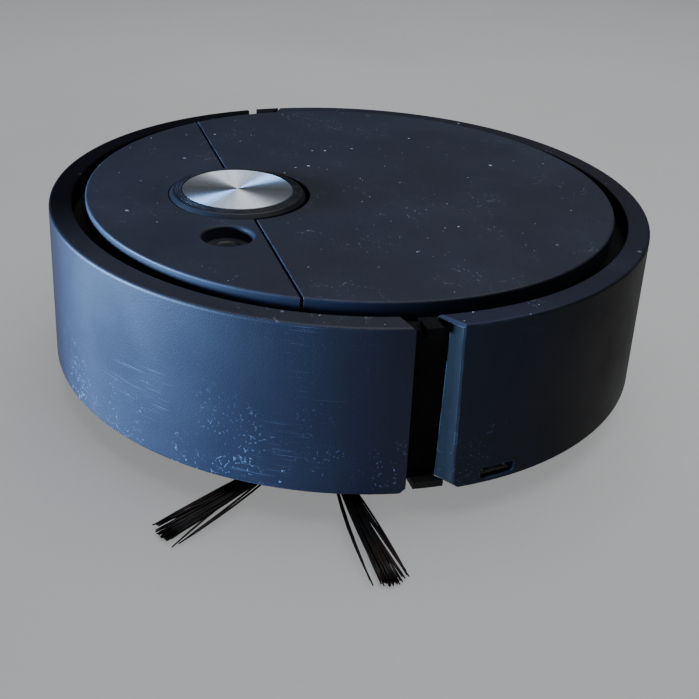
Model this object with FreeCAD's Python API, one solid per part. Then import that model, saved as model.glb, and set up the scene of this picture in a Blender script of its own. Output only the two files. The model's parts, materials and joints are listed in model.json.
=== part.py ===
import FreeCAD, Part
import math
import os
from FreeCAD import Vector

# Mini robot vacuum cleaner. Millimetres, +Z up, +Y is the driving direction, +X its right side.
# The origin is on the floor, under the centre of the round body.

# ---- driving dimensions of the round body ----
BODY_RADIUS_BOTTOM = 122.0
BODY_RADIUS_TOP = 120.0
BODY_BOTTOM = 12.5
BODY_TOP = 75.1
SHELL_WALL = 2.6
RING_INNER_RADIUS = 111.4
EDGE_ROUND = 1.1
EDGE_FACETS = 4

# ---- deck: front panel, rear lid, disc and button ----
LID_TOP = 77.3
LID_RADIUS = 106.0
LID_THICKNESS = 2.0
LID_SKIRT_BOTTOM = 71.0
LID_FRONT_EDGE = 46.4
PANEL_TOP = 77.1
PANEL_RADIUS = 106.2
PANEL_THICKNESS = 2.6
PANEL_REAR_EDGE = 47.4
DECK_SKIRT = 2.6
DISC_Y = 47.5
DISC_RIM_RADIUS = 27.0
DISC_RADIUS = 21.9
DISC_TOP = 79.1
LID_NOTCH_RADIUS = 28.7
BUTTON_X = -41.0
BUTTON_Y = 60.0
BUTTON_WELL_RADIUS = 9.9
BUTTON_WELL_FLOOR_RADIUS = 8.8
BUTTON_WELL_FLOOR = 72.2
BUTTON_RADIUS = 6.25
BUTTON_WELL_WALL = 1.4
BUTTON_FLANGE_RADIUS = 7.3
BUTTON_TOP = 72.9
BUTTON_STEM_RADIUS = 1.6
DECK_CLEARANCE = 0.3
DISC_INSET = 1.2
DISC_RIM_EDGE_RADIUS = 25.6
DISC_RIM_EDGE_Z = 78.5
DISC_RIM_GROOVES = (22.9, 23.7, 24.5)
DISC_RIM_HOLLOW = 24.0

# ---- lid hinge ----
HINGE_Y = 40.0
HINGE_Z = 73.4
HINGE_KNUCKLE_RADIUS = 1.7
HINGE_PIN_RADIUS = 0.9
HINGE_X = 62.5
KNUCKLE_HALF = 3.2
EAR_THICKNESS = 2.8

# ---- base and inner frame ----
BASE_BOTTOM = 12.0
BASE_TOP = 14.5
BASE_RADIUS = 117.0
BASE_FRONT_RADIUS = 112.5
FRAME_TOP = 66.0
FRAME_PLATE = 2.5
FRAME_WALL_OUTER = 112.0
FRAME_WALL_INNER = 109.5
PILLAR_RADIUS = 115.3
PILLAR_TOP = 72.0
PILLAR_HALF_WIDTH = 8.0
PILLAR_FRONT = 24.0
LEDGE_BOTTOM = 71.0
LEDGE_TOP = 74.4
LEDGE_RADIUS = 119.2
LEDGE_REAR = 7.0
LEDGE_FRONT = 12.6
RIGHT_LEDGE_TOP = 75.0
RIGHT_LEDGE_RADIUS = 119.6
COAMING_OUTER = 101.5
COAMING_INNER = 99.5
COAMING_FRONT = 33.0

# ---- gap between bumper and rear shell, on the left side; the right side mirrors it ----
BUMPER_END_OUTER = (-121.0, 15.9)
BUMPER_END_INNER = (-109.8, 18.0)
SHELL_END_OUTER = (-121.0, -0.1)
SHELL_END_SLOPE = 33.0
SHELL_END_INNER_X = -104.0
SHELL_END_WALL = 2.4
SHELL_END_TOP_CHAMFER = 1.0
SHELL_END_SIDE_CHAMFER = 0.5
END_BOTTOM_CHAMFER = 2.2
BUMPER_END_TOP_CHAMFER = 0.8
SHELL_LEDGE_INNER = 113.4
SHELL_LEDGE_THICKNESS = 2.2
SILL_RADIUS = 119.0
SILL_FRONT = 12.2
SILL_CLEARANCE = 0.15

# ---- exhaust slots in the rear wall ----
EXHAUST_COUNT = 9
EXHAUST_STEP = 2.6
EXHAUST_WIDTH = 2.4
EXHAUST_HEIGHT = 18.0
EXHAUST_Z = 45.0
REAR = 270.0

# ---- drive wheels and their sprung arms ----
WHEEL_RADIUS = 27.0
WHEEL_Y = -14.0
WHEEL_INNER_X = 65.0
WHEEL_WIDTH = 13.0
WHEEL_HUB_RADIUS = 21.0
TREAD_LUGS = 24
TREAD_DEPTH = 1.6
AXLE_RADIUS = 3.0
AXLE_INNER_X = 59.2
ARM_INNER_X = 56.5
ARM_OUTER_X = 62.5
ARM_RADIUS = 11.0
ARM_PIVOT_Y = -55.0
ARM_PIVOT_Z = 30.0
ARM_STUB_RADIUS = 3.0
MOTOR_RADIUS = 11.5
MOTOR_OUTER_X = 83.0
WHEEL_COVER = (54.0, 86.0, -69.0, 18.5)
WHEEL_COVER_TOP = 58.0
WHEEL_COVER_WALL = 1.4
WHEEL_OPENING = (55.5, 80.5, -45.0, 17.5)

# ---- side brushes ----
BRUSH_X = 83.0
BRUSH_Y = 35.0
BRUSH_TIP_RADIUS = 68.0
BRUSH_TUFTS = 5
TUFT_START = -4.6
BRUSH_GEARBOX_HALF_WIDTH = 12.0
BRUSH_GEARBOX_HALF_DEPTH = 11.5
BRUSH_GEARBOX_BOTTOM = 15.2
BRUSH_GEARBOX_TOP = 36.0
BRUSH_MOTOR_RADIUS = 10.0
BRUSH_MOTOR_TOP = 56.0
BRUSH_HUB_RADIUS = 10.5
BRUSH_HUB_BOTTOM = 10.5
BRUSH_HUB_TOP = 14.3
BRUSH_HOLE_RADIUS = 13.0
TUFT_ROOT_Z = 11.4
TUFT_TIP_Z = 1.2
TUFT_ROOT_RADIUS = 0.9
TUFT_TIP_RADIUS = 0.7
BRUSH_SHAFT_RADIUS = 2.0
BRUSH_SHAFT_TOP = 30.0

# ---- caster ----
CASTER_Y = 92.0
CASTER_TRAIL = 4.0
CASTER_RADIUS = 8.0
CASTER_WIDTH = 11.0
CASTER_CHEEK_THICKNESS = 2.0
CASTER_CHEEK_REACH = 7.9
CASTER_CUP_OUTER = 15.8
CASTER_CUP_INNER = 14.4
CASTER_STEM_RADIUS = 2.5
CASTER_AXLE_RADIUS = 1.5

# ---- suction inlet, dust bin and fan ----
INLET = (-34.0, 34.0, -29.0, -5.0)
INLET_WALL = 3.0
SCRAPER_THICKNESS = 1.6
SCRAPER_BOTTOM = 2.5
SCRAPER_TOP = 18.0
BIN = (-50.0, 50.0, -37.0, 37.0)
BIN_BOTTOM = 36.2
BIN_WALL = 1.6
FILTER_HALF_WIDTH = 35.0
FILTER_BOTTOM = 40.0
FILTER_TOP = 64.0
FILTER_DEPTH = 7.0
FILTER_BORDER = 2.0
PLEATS = 14
PLEAT_GAP = 1.8
HANDLE_HALF_WIDTH = 22.0
HANDLE_TOP = 74.3
HANDLE_WALL = 2.5
CHIMNEY_TOP = 56.0
FAN_Y = -72.0
FAN_RADIUS = 27.0
FAN_TOP = 60.0
FAN_WALL = 2.0
IMPELLER_RADIUS = 22.0
IMPELLER_BLADES = 11
IMPELLER_BOTTOM = 48.0
IMPELLER_TOP = 56.0
FAN_EYE_RADIUS = 11.0
FAN_DECK_BOTTOM = 28.0
FAN_DECK_TOP = 30.0
FAN_MOTOR_RADIUS = 14.0
FAN_MOTOR_TOP = 46.0
DUCT = (2.0, 24.0, 40.0, 56.0)
DUCT_WALL = 2.0
FAN_SHAFT_RADIUS = 1.5

# ---- battery and boards ----
CELL_RADIUS = 9.2
CELL_LENGTH = 68.0
CELL_COUNT = 3
BATTERY_Y = 44.0
BATTERY_Z = 25.9
BATTERY_OPENING = (-35.5, 35.5, 15.8, 72.2)
BATTERY_COVER = (-41.7, 41.7, 12.8, 75.2)
BATTERY_COVER_THICKNESS = 1.15
BATTERY_SCREW_X = 38.6
BOARD_BOTTOM = 58.0
BOARD_THICKNESS = 1.6
BOARD_POST_RADIUS = 3.0
BOARD_POSTS = ((-50.0, 54.0), (50.0, 54.0), (-50.0, 84.0), (50.0, 84.0))

# ---- charging slot in the rear shell ----
SLOT_ANGLE = 188.6
SLOT_WIDTH = 13.7
SLOT_BOTTOM = 14.3
SLOT_TOP = 18.7
SLOT_CORNER = 1.2
SOCKET_HALF_WIDTH = 4.6
SOCKET_BOTTOM = 14.7
SOCKET_HEIGHT = 3.4
SOCKET_WALL = 0.5
SOCKET_INNER_END = 112.6
SOCKET_OUTER_END = 118.9

# ---- bumper springs, guides and travel sensors ----
GUIDE_X = 55.0
GUIDE_Z = 45.0
GUIDE_ROD_RADIUS = 2.4
GUIDE_ROD_END = 84.0
SPRING_SEAT = 92.0
GUIDE_BOSS_END = 97.4
GUIDE_BOSS_RADIUS = 6.4
SPRING_WELL_RADIUS = 5.2
SPRING_PLATE_RADIUS = 4.6
SPRING_PLATE_Y = 101.6
SPRING_RADIUS = 3.6
SPRING_WIRE = 0.4
SPRING_PITCH = 1.8
SENSOR_X = 25.0
SENSOR_HALF_WIDTH = 5.0
SENSOR_REAR = 94.0
SENSOR_FRONT = 104.0
SENSOR_BOTTOM = 38.0
SENSOR_TOP = 48.0
SENSOR_SLOT = 3.6
FLAG_THICKNESS = 1.2
FLAG_TIP_Y = 105.0
FLAG_BOTTOM = 41.0
FLAG_TOP = 47.0

# ---- fasteners ----
BASE_SCREW_RADIUS = 104.0
BASE_SCREW_ANGLES = (5.0, 72.0, 108.0, 175.0, 250.0, 290.0)
BASE_SCREW_HEAD = 3.0
BASE_SCREW_SHANK = 1.4
BASE_SCREW_TOP = 22.0
SCREW_BOSS_RADIUS = 4.0
SCREW_BOSS_TOP = 30.0
BOARD_SCREW_SHANK = 1.2
SCREW_FIT = 0.05

# ---- floor sensors in the underside ----
CLIFF_RADIUS = 103.0
CLIFF_ANGLES = (38.0, 60.0, 120.0, 142.0)
CLIFF_HALF_LENGTH = 7.0
CLIFF_HALF_WIDTH = 3.0

# ---- limits well outside the robot, for trimming ----
FAR = 140.0
ABOVE = 100.0

LEFT = -1
RIGHT = 1


# ---------------------------------------------------------------- shape helpers
def box(x_low, x_high, y_low, y_high, z_low, z_high):
    corner = Vector(x_low, y_low, z_low)
    return Part.makeBox(x_high - x_low, y_high - y_low, z_high - z_low, corner)


def upright(radius, z_low, z_high, x=0.0, y=0.0):
    return Part.makeCylinder(radius, z_high - z_low, Vector(x, y, z_low))


def upright_tube(outer, inner, z_low, z_high, x=0.0, y=0.0):
    return upright(outer, z_low, z_high, x, y).cut(upright(inner, z_low - 1, z_high + 1, x, y))


def crosswise(radius, x_low, x_high, y, z):
    return Part.makeCylinder(radius, x_high - x_low, Vector(x_low, y, z), Vector(1, 0, 0))


def lengthwise(radius, y_low, y_high, x, z):
    return Part.makeCylinder(radius, y_high - y_low, Vector(x, y_low, z), Vector(0, 1, 0))


def fuse_all(shapes):
    return shapes[0].multiFuse(shapes[1:]).removeSplitter()


def mirrored(shape, side):
    """The right-hand shape as modelled, or its mirror image on the left."""
    if side == RIGHT:
        return shape
    return shape.mirror(Vector(0, 0, 0), Vector(1, 0, 0))


def both_sides(shape):
    return shape.fuse(mirrored(shape, LEFT))


def polar(radius, degrees):
    angle = math.radians(degrees)
    return radius * math.cos(angle), radius * math.sin(angle)


def arc_edges(start, middle, end, facets):
    """One arc, or as many straight chords of it as facets says."""
    arc = Part.Arc(start, middle, end).toShape()
    if facets == 0:
        return [arc]
    points = arc.discretize(facets + 1)
    if points[0].distanceToPoint(start) > points[-1].distanceToPoint(start):
        points.reverse()
    return [Part.LineSegment(points[i], points[i + 1]).toShape() for i in range(facets)]


def rounded_wire(corners, plane, facets=0):
    """Closed outline through (a, b, corner radius) points, laid out by plane(a, b)."""
    arcs = {}
    joints = []
    count = len(corners)
    for index in range(count):
        a, b, radius = corners[index]
        here = plane(a, b)
        before = plane(corners[index - 1][0], corners[index - 1][1])
        after = plane(corners[(index + 1) % count][0], corners[(index + 1) % count][1])
        if radius <= 0:
            joints.append((here, here))
            continue
        to_before = (before - here).normalize()
        to_after = (after - here).normalize()
        half = to_before.getAngle(to_after) / 2
        start = here + to_before * (radius / math.tan(half))
        end = here + to_after * (radius / math.tan(half))
        bisector = (to_before + to_after).normalize()
        middle = here + bisector * (radius / math.sin(half) - radius)
        arcs[index] = arc_edges(start, middle, end, facets)
        joints.append((start, end))
    outline = []
    for index in range(count):
        outline += arcs.get(index, [])
        leave = joints[index][1]
        arrive = joints[(index + 1) % count][0]
        if leave.distanceToPoint(arrive) > 1e-6:
            outline.append(Part.LineSegment(leave, arrive).toShape())
    return Part.Wire(outline)


def turned(corners, x=0.0, y=0.0, facets=0):
    """Solid of revolution about an upright axis, from (radius, z, corner radius) points."""
    wire = rounded_wire(corners, lambda r, z: Vector(x + r, y, z), facets)
    return Part.Face(wire).revolve(Vector(x, y, 0), Vector(0, 0, 1), 360)


def plate(corners, z_low, z_high):
    """Upright prism from (x, y, corner radius) points."""
    wire = rounded_wire(corners, lambda a, b: Vector(a, b, z_low))
    return Part.Face(wire).extrude(Vector(0, 0, z_high - z_low))


def rounded_box(limits, z_low, z_high, radius):
    x_low, x_high, y_low, y_high = limits
    corners = [(x_low, y_low, radius), (x_high, y_low, radius)]
    corners += [(x_high, y_high, radius), (x_low, y_high, radius)]
    return plate(corners, z_low, z_high)


def shrunk(limits, wall):
    x_low, x_high, y_low, y_high = limits
    return x_low + wall, x_high - wall, y_low + wall, y_high - wall


# ---------------------------------------------------------------- the round outer shell
def outer_radius(z):
    """Outside radius of the drafted shell at height z."""
    share = (z - BODY_BOTTOM) / (BODY_TOP - BODY_BOTTOM)
    return BODY_RADIUS_BOTTOM + share * (BODY_RADIUS_TOP - BODY_RADIUS_BOTTOM)


def shell_ring():
    """Whole drafted ring: outer wall and inward top flange, before it is parted in two."""
    flange_bottom = BODY_TOP - SHELL_WALL
    return turned([
        (BODY_RADIUS_BOTTOM, BODY_BOTTOM, 0.6),
        (BODY_RADIUS_TOP, BODY_TOP, EDGE_ROUND),
        (RING_INNER_RADIUS, BODY_TOP, 0.6),
        (RING_INNER_RADIUS, flange_bottom, 0),
        (BODY_RADIUS_TOP - SHELL_WALL, flange_bottom, 0),
        (BODY_RADIUS_BOTTOM - SHELL_WALL, BODY_BOTTOM, 0.6),
    ], facets=EDGE_FACETS)


def line_slope(start, end):
    return (end[1] - start[1]) / (end[0] - start[0])


def bumper_side_cutter():
    """Everything behind the bumper's two end faces."""
    outer = BUMPER_END_OUTER
    inner = BUMPER_END_INNER
    far_y = outer[1] + line_slope(outer, inner) * (-FAR - outer[0])
    corners = [(-FAR, far_y, 0), inner + (0,), (-inner[0], inner[1], 0), (FAR, far_y, 0)]
    corners += [(FAR, -FAR, 0), (-FAR, -FAR, 0)]
    return plate(corners, 0, ABOVE)


def end_wedge(corner, degrees, profile):
    """Prism along an end face on the left, from (distance in front of the face, z) points."""
    wire = rounded_wire([point + (0,) for point in profile], lambda ahead, z: Vector(-30, ahead, z))
    prism = Part.Face(wire).extrude(Vector(60, 0, 0))
    prism.rotate(Vector(0, 0, 0), Vector(0, 0, 1), degrees)
    prism.translate(Vector(corner[0], corner[1], 0))
    return prism


def bumper_end_chamfers():
    """Wedges that take the top and bottom corners off the bumper's end faces."""
    degrees = math.degrees(math.atan(line_slope(BUMPER_END_OUTER, BUMPER_END_INNER)))
    bottom = END_BOTTOM_CHAMFER
    top = BUMPER_END_TOP_CHAMFER
    low = end_wedge(BUMPER_END_OUTER, degrees,
                    [(0, BODY_BOTTOM + bottom), (bottom, BODY_BOTTOM), (-1, BODY_BOTTOM - 1)])
    high = end_wedge(BUMPER_END_OUTER, degrees,
                     [(0, BODY_TOP - top), (top, BODY_TOP), (-1, BODY_TOP + 1)])
    return both_sides(Part.makeCompound([low, high]))


def shell_end_chamfers():
    """Wedges that take the top, bottom and outer edges off the rear shell's end faces."""
    bottom = END_BOTTOM_CHAMFER
    top = SHELL_END_TOP_CHAMFER
    low = end_wedge(SHELL_END_OUTER, SHELL_END_SLOPE,
                    [(0, BODY_BOTTOM + bottom), (-bottom, BODY_BOTTOM), (1, BODY_BOTTOM - 1)])
    high = end_wedge(SHELL_END_OUTER, SHELL_END_SLOPE,
                     [(0, BODY_TOP - top), (-top, BODY_TOP), (1, BODY_TOP + 1)])
    return both_sides(Part.makeCompound([low, high, shell_end_side_wedge()]))


def shell_end_side_wedge():
    """Wedge along the upright outer edge of the rear shell's left end face."""
    low = shell_end_point(BODY_RADIUS_BOTTOM) + Vector(0, 0, BODY_BOTTOM)
    high = shell_end_point(BODY_RADIUS_TOP) + Vector(0, 0, BODY_TOP)
    size = SHELL_END_SIDE_CHAMFER
    start = low - (high - low) * 0.1
    along_face = start + shell_end_direction() * size
    corners = [along_face, start + Vector(0, -size, 0), start + Vector(-2.0, 0.6, 0)]
    wire = Part.makePolygon(corners + [corners[0]])
    return Part.Face(wire).extrude((high - low) * 1.2)


def shell_end_direction():
    """Inward direction along the rear shell's left end face."""
    x, y = polar(1.0, SHELL_END_SLOPE)
    return Vector(x, y, 0)


def shell_end_point(radius):
    """Point on the left end face's line at the given distance from the robot's axis."""
    start = Vector(SHELL_END_OUTER[0], SHELL_END_OUTER[1], 0)
    across = start.dot(shell_end_direction())
    share = -across - math.sqrt(across ** 2 - start.dot(start) + radius ** 2)
    return start + shell_end_direction() * share


def shell_end_line(offset):
    """Two points on the rear shell's left end face, moved back by offset."""
    slope = math.tan(math.radians(SHELL_END_SLOPE))
    back = offset / math.cos(math.radians(SHELL_END_SLOPE))
    points = []
    for x in (-FAR, SHELL_END_INNER_X):
        points.append((x, SHELL_END_OUTER[1] + slope * (x - SHELL_END_OUTER[0]) - back))
    return points


def shell_side_cutter(offset):
    """Everything in front of the rear shell's end faces, moved back by offset."""
    outer, inner = shell_end_line(offset)
    corners = [outer + (0,), inner + (0,), (-inner[0], inner[1], 0), (-outer[0], outer[1], 0)]
    corners += [(FAR, FAR, 0), (-FAR, FAR, 0)]
    return plate(corners, 0, ABOVE)


def reach_to_bumper(x):
    """Distance forward from the robot's centre line to the middle of the bumper's wall."""
    wall_middle = outer_radius(GUIDE_Z) - SHELL_WALL / 2
    return math.sqrt(wall_middle ** 2 - x ** 2)


def within_bumper(shape):
    """The shape cut off just inside the bumper's outer face."""
    inset = 0.3
    inside = turned([
        (0, BODY_BOTTOM, 0), (BODY_RADIUS_BOTTOM - inset, BODY_BOTTOM, 0),
        (BODY_RADIUS_TOP - inset, BODY_TOP, 0), (0, BODY_TOP, 0),
    ])
    return shape.common(inside)


def front_bumper():
    """Half-ring bumper with two guide rods, their spring plates and two sensor flags."""
    inner_parts = []
    for side in (LEFT, RIGHT):
        x = side * GUIDE_X
        rod_end = reach_to_bumper(GUIDE_X)
        inner_parts.append(lengthwise(GUIDE_ROD_RADIUS, GUIDE_ROD_END, rod_end, x, GUIDE_Z))
        inner_parts.append(lengthwise(SPRING_PLATE_RADIUS, SPRING_PLATE_Y, rod_end, x, GUIDE_Z))
        flag_low = side * SENSOR_X - FLAG_THICKNESS / 2
        flag_high = side * SENSOR_X + FLAG_THICKNESS / 2
        flag_end = reach_to_bumper(SENSOR_X)
        inner_parts.append(box(flag_low, flag_high, FLAG_TIP_Y, flag_end, FLAG_BOTTOM, FLAG_TOP))
    half_ring = shell_ring().cut(bumper_side_cutter()).cut(bumper_end_chamfers())
    return half_ring.fuse(within_bumper(fuse_all(inner_parts))).removeSplitter()


def through_wall(outline, degrees):
    """Bar through the shell's wall at the given angle, from (across, z, corner radius) points."""
    start = RING_INNER_RADIUS
    wire = rounded_wire(outline, lambda across, z: Vector(start, across, z))
    bar = Part.Face(wire).extrude(Vector(BODY_RADIUS_BOTTOM + 4 - start, 0, 0))
    bar.rotate(Vector(0, 0, 0), Vector(0, 0, 1), degrees)
    return bar


def slot_outline(width, bottom, top, corner):
    half = width / 2
    return [(-half, bottom, corner), (half, bottom, corner), (half, top, corner), (-half, top, corner)]


def exhaust_slots():
    """Row of upright slots, round at both ends, in the middle of the rear wall."""
    bottom = EXHAUST_Z - EXHAUST_HEIGHT / 2
    outline = slot_outline(EXHAUST_WIDTH, bottom, bottom + EXHAUST_HEIGHT, EXHAUST_WIDTH / 2 - 0.05)
    slots = []
    for index in range(EXHAUST_COUNT):
        degrees = REAR + (index - (EXHAUST_COUNT - 1) / 2) * EXHAUST_STEP
        slots.append(through_wall(outline, degrees))
    return Part.makeCompound(slots)


def charging_slot():
    return through_wall(slot_outline(SLOT_WIDTH, SLOT_BOTTOM, SLOT_TOP, SLOT_CORNER), SLOT_ANGLE)


def at_charging_slot(shape):
    """Turn a shape built on the +X side round to the charging slot."""
    shape.rotate(Vector(0, 0, 0), Vector(0, 0, 1), SLOT_ANGLE)
    return shape


def socket_pocket():
    """Room behind the slot for the charging socket."""
    half_width = SOCKET_HALF_WIDTH + 1.8
    pocket_top = SOCKET_BOTTOM + SOCKET_HEIGHT + 1.2
    return at_charging_slot(box(112.0, 119.3, -half_width, half_width, BASE_TOP - 0.5, pocket_top))


def rear_shell():
    """Rear wall with its slanted end faces, a rest ledge on the base, exhaust and charging slots."""
    ring = shell_ring().cut(shell_side_cutter(0))
    skin = 0.5
    inner = PILLAR_RADIUS + DECK_CLEARANCE
    band = turned([
        (inner, BODY_BOTTOM, 0), (BODY_RADIUS_BOTTOM - skin, BODY_BOTTOM, 0),
        (BODY_RADIUS_TOP - skin, BODY_TOP - skin, 0), (inner, BODY_TOP - skin, 0),
    ])
    end_walls = band.cut(shell_side_cutter(0)).common(shell_side_cutter(SHELL_END_WALL))
    ledge_outer = BODY_RADIUS_BOTTOM - SHELL_WALL / 2
    ledge_top = BASE_TOP + SHELL_LEDGE_THICKNESS
    ledge = upright_tube(ledge_outer, SHELL_LEDGE_INNER, BASE_TOP, ledge_top)
    ledge = ledge.cut(box(-FAR, FAR, -9.0, FAR, 0, ABOVE))
    shell = fuse_all([ring, end_walls, ledge])
    shell = shell.cut(charging_slot())
    shell = shell.cut(socket_pocket())
    shell = shell.cut(exhaust_slots())
    return shell.cut(shell_end_chamfers())


def charging_socket():
    """Metal shell of the charging socket, with its tongue, set behind the slot."""
    half = SOCKET_HALF_WIDTH
    top = SOCKET_BOTTOM + SOCKET_HEIGHT
    wall = SOCKET_WALL
    outer = box(SOCKET_INNER_END, SOCKET_OUTER_END, -half, half, SOCKET_BOTTOM, top)
    inner = box(SOCKET_INNER_END + 0.8, 125, wall - half, half - wall, SOCKET_BOTTOM + wall, top - wall)
    middle = SOCKET_BOTTOM + SOCKET_HEIGHT / 2
    tongue = box(SOCKET_INNER_END + 0.4, SOCKET_OUTER_END - 1.3, -2.9, 2.9, middle - 0.3, middle + 0.3)
    return at_charging_slot(outer.cut(inner).fuse(tongue))


# ---------------------------------------------------------------- base plate and inner frame
def base_outline():
    """Disc that is narrower at the front, where the bumper moves back over it, with side sills."""
    rear_end = -4.0
    rear_half = upright(BASE_RADIUS, BASE_BOTTOM, BASE_TOP).cut(box(-FAR, FAR, rear_end, FAR, 0, ABOVE))
    front = upright(BASE_FRONT_RADIUS, BASE_BOTTOM, BASE_TOP)
    sills = upright(SILL_RADIUS, BASE_BOTTOM, BASE_TOP)
    sills = sills.common(box(-FAR, FAR, rear_end, SILL_FRONT, 0, ABOVE))
    sills = sills.common(shell_side_cutter(-SILL_CLEARANCE))
    return fuse_all([rear_half, front, sills])


def cliff_window_places():
    return [polar(CLIFF_RADIUS, degrees) for degrees in CLIFF_ANGLES]


def base_screw_places():
    return [polar(BASE_SCREW_RADIUS, degrees) for degrees in BASE_SCREW_ANGLES]


def base_plate():
    """Floor plate with its ribs, wheel, brush, caster and battery openings, and screw holes."""
    floor = base_outline()
    ribs = []
    for y in (-98.0, -86.0, -50.0):
        ribs.append(box(-29, 29, y - 0.8, y + 0.8, BASE_TOP, BASE_TOP + 3).cut(fan_seat()))
    floor = fuse_all([floor] + ribs)
    fit = DECK_CLEARANCE
    scraper_room = 2.6
    inlet_hole = (INLET[0] - fit, INLET[1] + fit, INLET[2] - scraper_room, INLET[3] + fit)
    cuts = [rounded_box(inlet_hole, 0, ABOVE, 1.5)]
    cuts.append(both_sides(rounded_box(WHEEL_OPENING, 0, ABOVE, 2.0)))
    cuts.append(both_sides(upright(BRUSH_HOLE_RADIUS, 0, ABOVE, BRUSH_X, BRUSH_Y)))
    cuts.append(upright(CASTER_CUP_INNER, 0, ABOVE, 0, CASTER_Y))
    cuts.append(rounded_box(BATTERY_OPENING, 0, ABOVE, 2.0))
    cuts.append(rounded_box(shrunk(BATTERY_COVER, -fit), 0, BASE_BOTTOM + 1.2, 3.0))
    half_length = CLIFF_HALF_LENGTH + 0.2
    half_width = CLIFF_HALF_WIDTH + 0.2
    for x, y in cliff_window_places():
        cuts.append(box(x - half_length, x + half_length, y - half_width, y + half_width, 0, ABOVE))
    for x, y in base_screw_places():
        cuts.append(upright(BASE_SCREW_SHANK + 0.2, 0, ABOVE, x, y))
        cuts.append(upright(BASE_SCREW_HEAD + 0.2, 0, BASE_BOTTOM + 1.6, x, y))
    cuts.append(both_sides(upright(0.95, 0, ABOVE, BATTERY_SCREW_X, BATTERY_Y)))
    return floor.cut(Part.makeCompound(cuts))


def fan_seat():
    return upright(FAN_RADIUS + 0.3, 0, 100, 0, FAN_Y)


def half_pillar():
    """Post of the frame behind the right side gap, with a ledge that roofs the gap."""
    post = upright_tube(PILLAR_RADIUS, FRAME_WALL_INNER, BASE_TOP, PILLAR_TOP)
    post = post.common(box(0, FAR, -PILLAR_HALF_WIDTH, PILLAR_FRONT, BASE_TOP, PILLAR_TOP))
    ledge = upright_tube(LEDGE_RADIUS, RING_INNER_RADIUS, LEDGE_BOTTOM, LEDGE_TOP)
    return post.fuse(ledge.common(box(0, FAR, LEDGE_REAR, LEDGE_FRONT, LEDGE_BOTTOM, LEDGE_TOP)))


def right_gap_cover():
    """Roof over the whole right gap, from the rear shell to where the pressed bumper stops."""
    cover = upright_tube(RIGHT_LEDGE_RADIUS, RING_INNER_RADIUS, LEDGE_BOTTOM, RIGHT_LEDGE_TOP)
    cover = cover.common(box(0, FAR, -PILLAR_HALF_WIDTH, LEDGE_FRONT, LEDGE_BOTTOM, RIGHT_LEDGE_TOP))
    return cover.common(shell_side_cutter(-DECK_CLEARANCE))


def hinge_ears():
    ears = []
    for edge in (-1, 1):
        centre = HINGE_X + edge * (KNUCKLE_HALF + 0.3 + EAR_THICKNESS / 2)
        low = centre - EAR_THICKNESS / 2
        high = centre + EAR_THICKNESS / 2
        post = box(low, high, HINGE_Y - 2.2, HINGE_Y + HINGE_KNUCKLE_RADIUS, FRAME_TOP - 1, HINGE_Z)
        eye = crosswise(HINGE_KNUCKLE_RADIUS, low, high, HINGE_Y, HINGE_Z)
        ears.append(post.fuse(eye))
    return fuse_all(ears)


def frame_guides():
    """Bosses that guide the bumper's rods, and shelves under its travel sensors."""
    pieces = []
    boss_start = SPRING_SEAT - 4.0
    for side in (LEFT, RIGHT):
        pieces.append(lengthwise(GUIDE_BOSS_RADIUS, boss_start, GUIDE_BOSS_END, side * GUIDE_X, GUIDE_Z))
        x = side * SENSOR_X
        shelf = box(x - 7, x + 7, SENSOR_REAR - 1, 112, SENSOR_BOTTOM - 2, SENSOR_BOTTOM)
        pieces.append(shelf.common(upright(FRAME_WALL_OUTER, 0, ABOVE)))
    return pieces


def frame_guide_holes():
    """Bores for the guide rods, wells for their springs and windows for the sensor flags."""
    holes = []
    for side in (LEFT, RIGHT):
        x = side * GUIDE_X
        holes.append(lengthwise(GUIDE_ROD_RADIUS + 0.4, 80, 120, x, GUIDE_Z))
        holes.append(lengthwise(SPRING_WELL_RADIUS, SPRING_SEAT, 120, x, GUIDE_Z))
        flag = side * SENSOR_X
        holes.append(box(flag - 2, flag + 2, 100, 120, FLAG_BOTTOM - 2, FLAG_TOP + 2))
    return holes


def screw_boss(degrees):
    """Boss for one base screw, with a web to the frame's wall."""
    x, y = polar(BASE_SCREW_RADIUS, degrees)
    boss = upright(SCREW_BOSS_RADIUS, BASE_TOP, SCREW_BOSS_TOP, x, y)
    web = box(BASE_SCREW_RADIUS, FRAME_WALL_INNER + 1, -1.5, 1.5, BASE_TOP, SCREW_BOSS_TOP)
    web.rotate(Vector(0, 0, 0), Vector(0, 0, 1), degrees)
    return boss.fuse(web)


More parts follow.
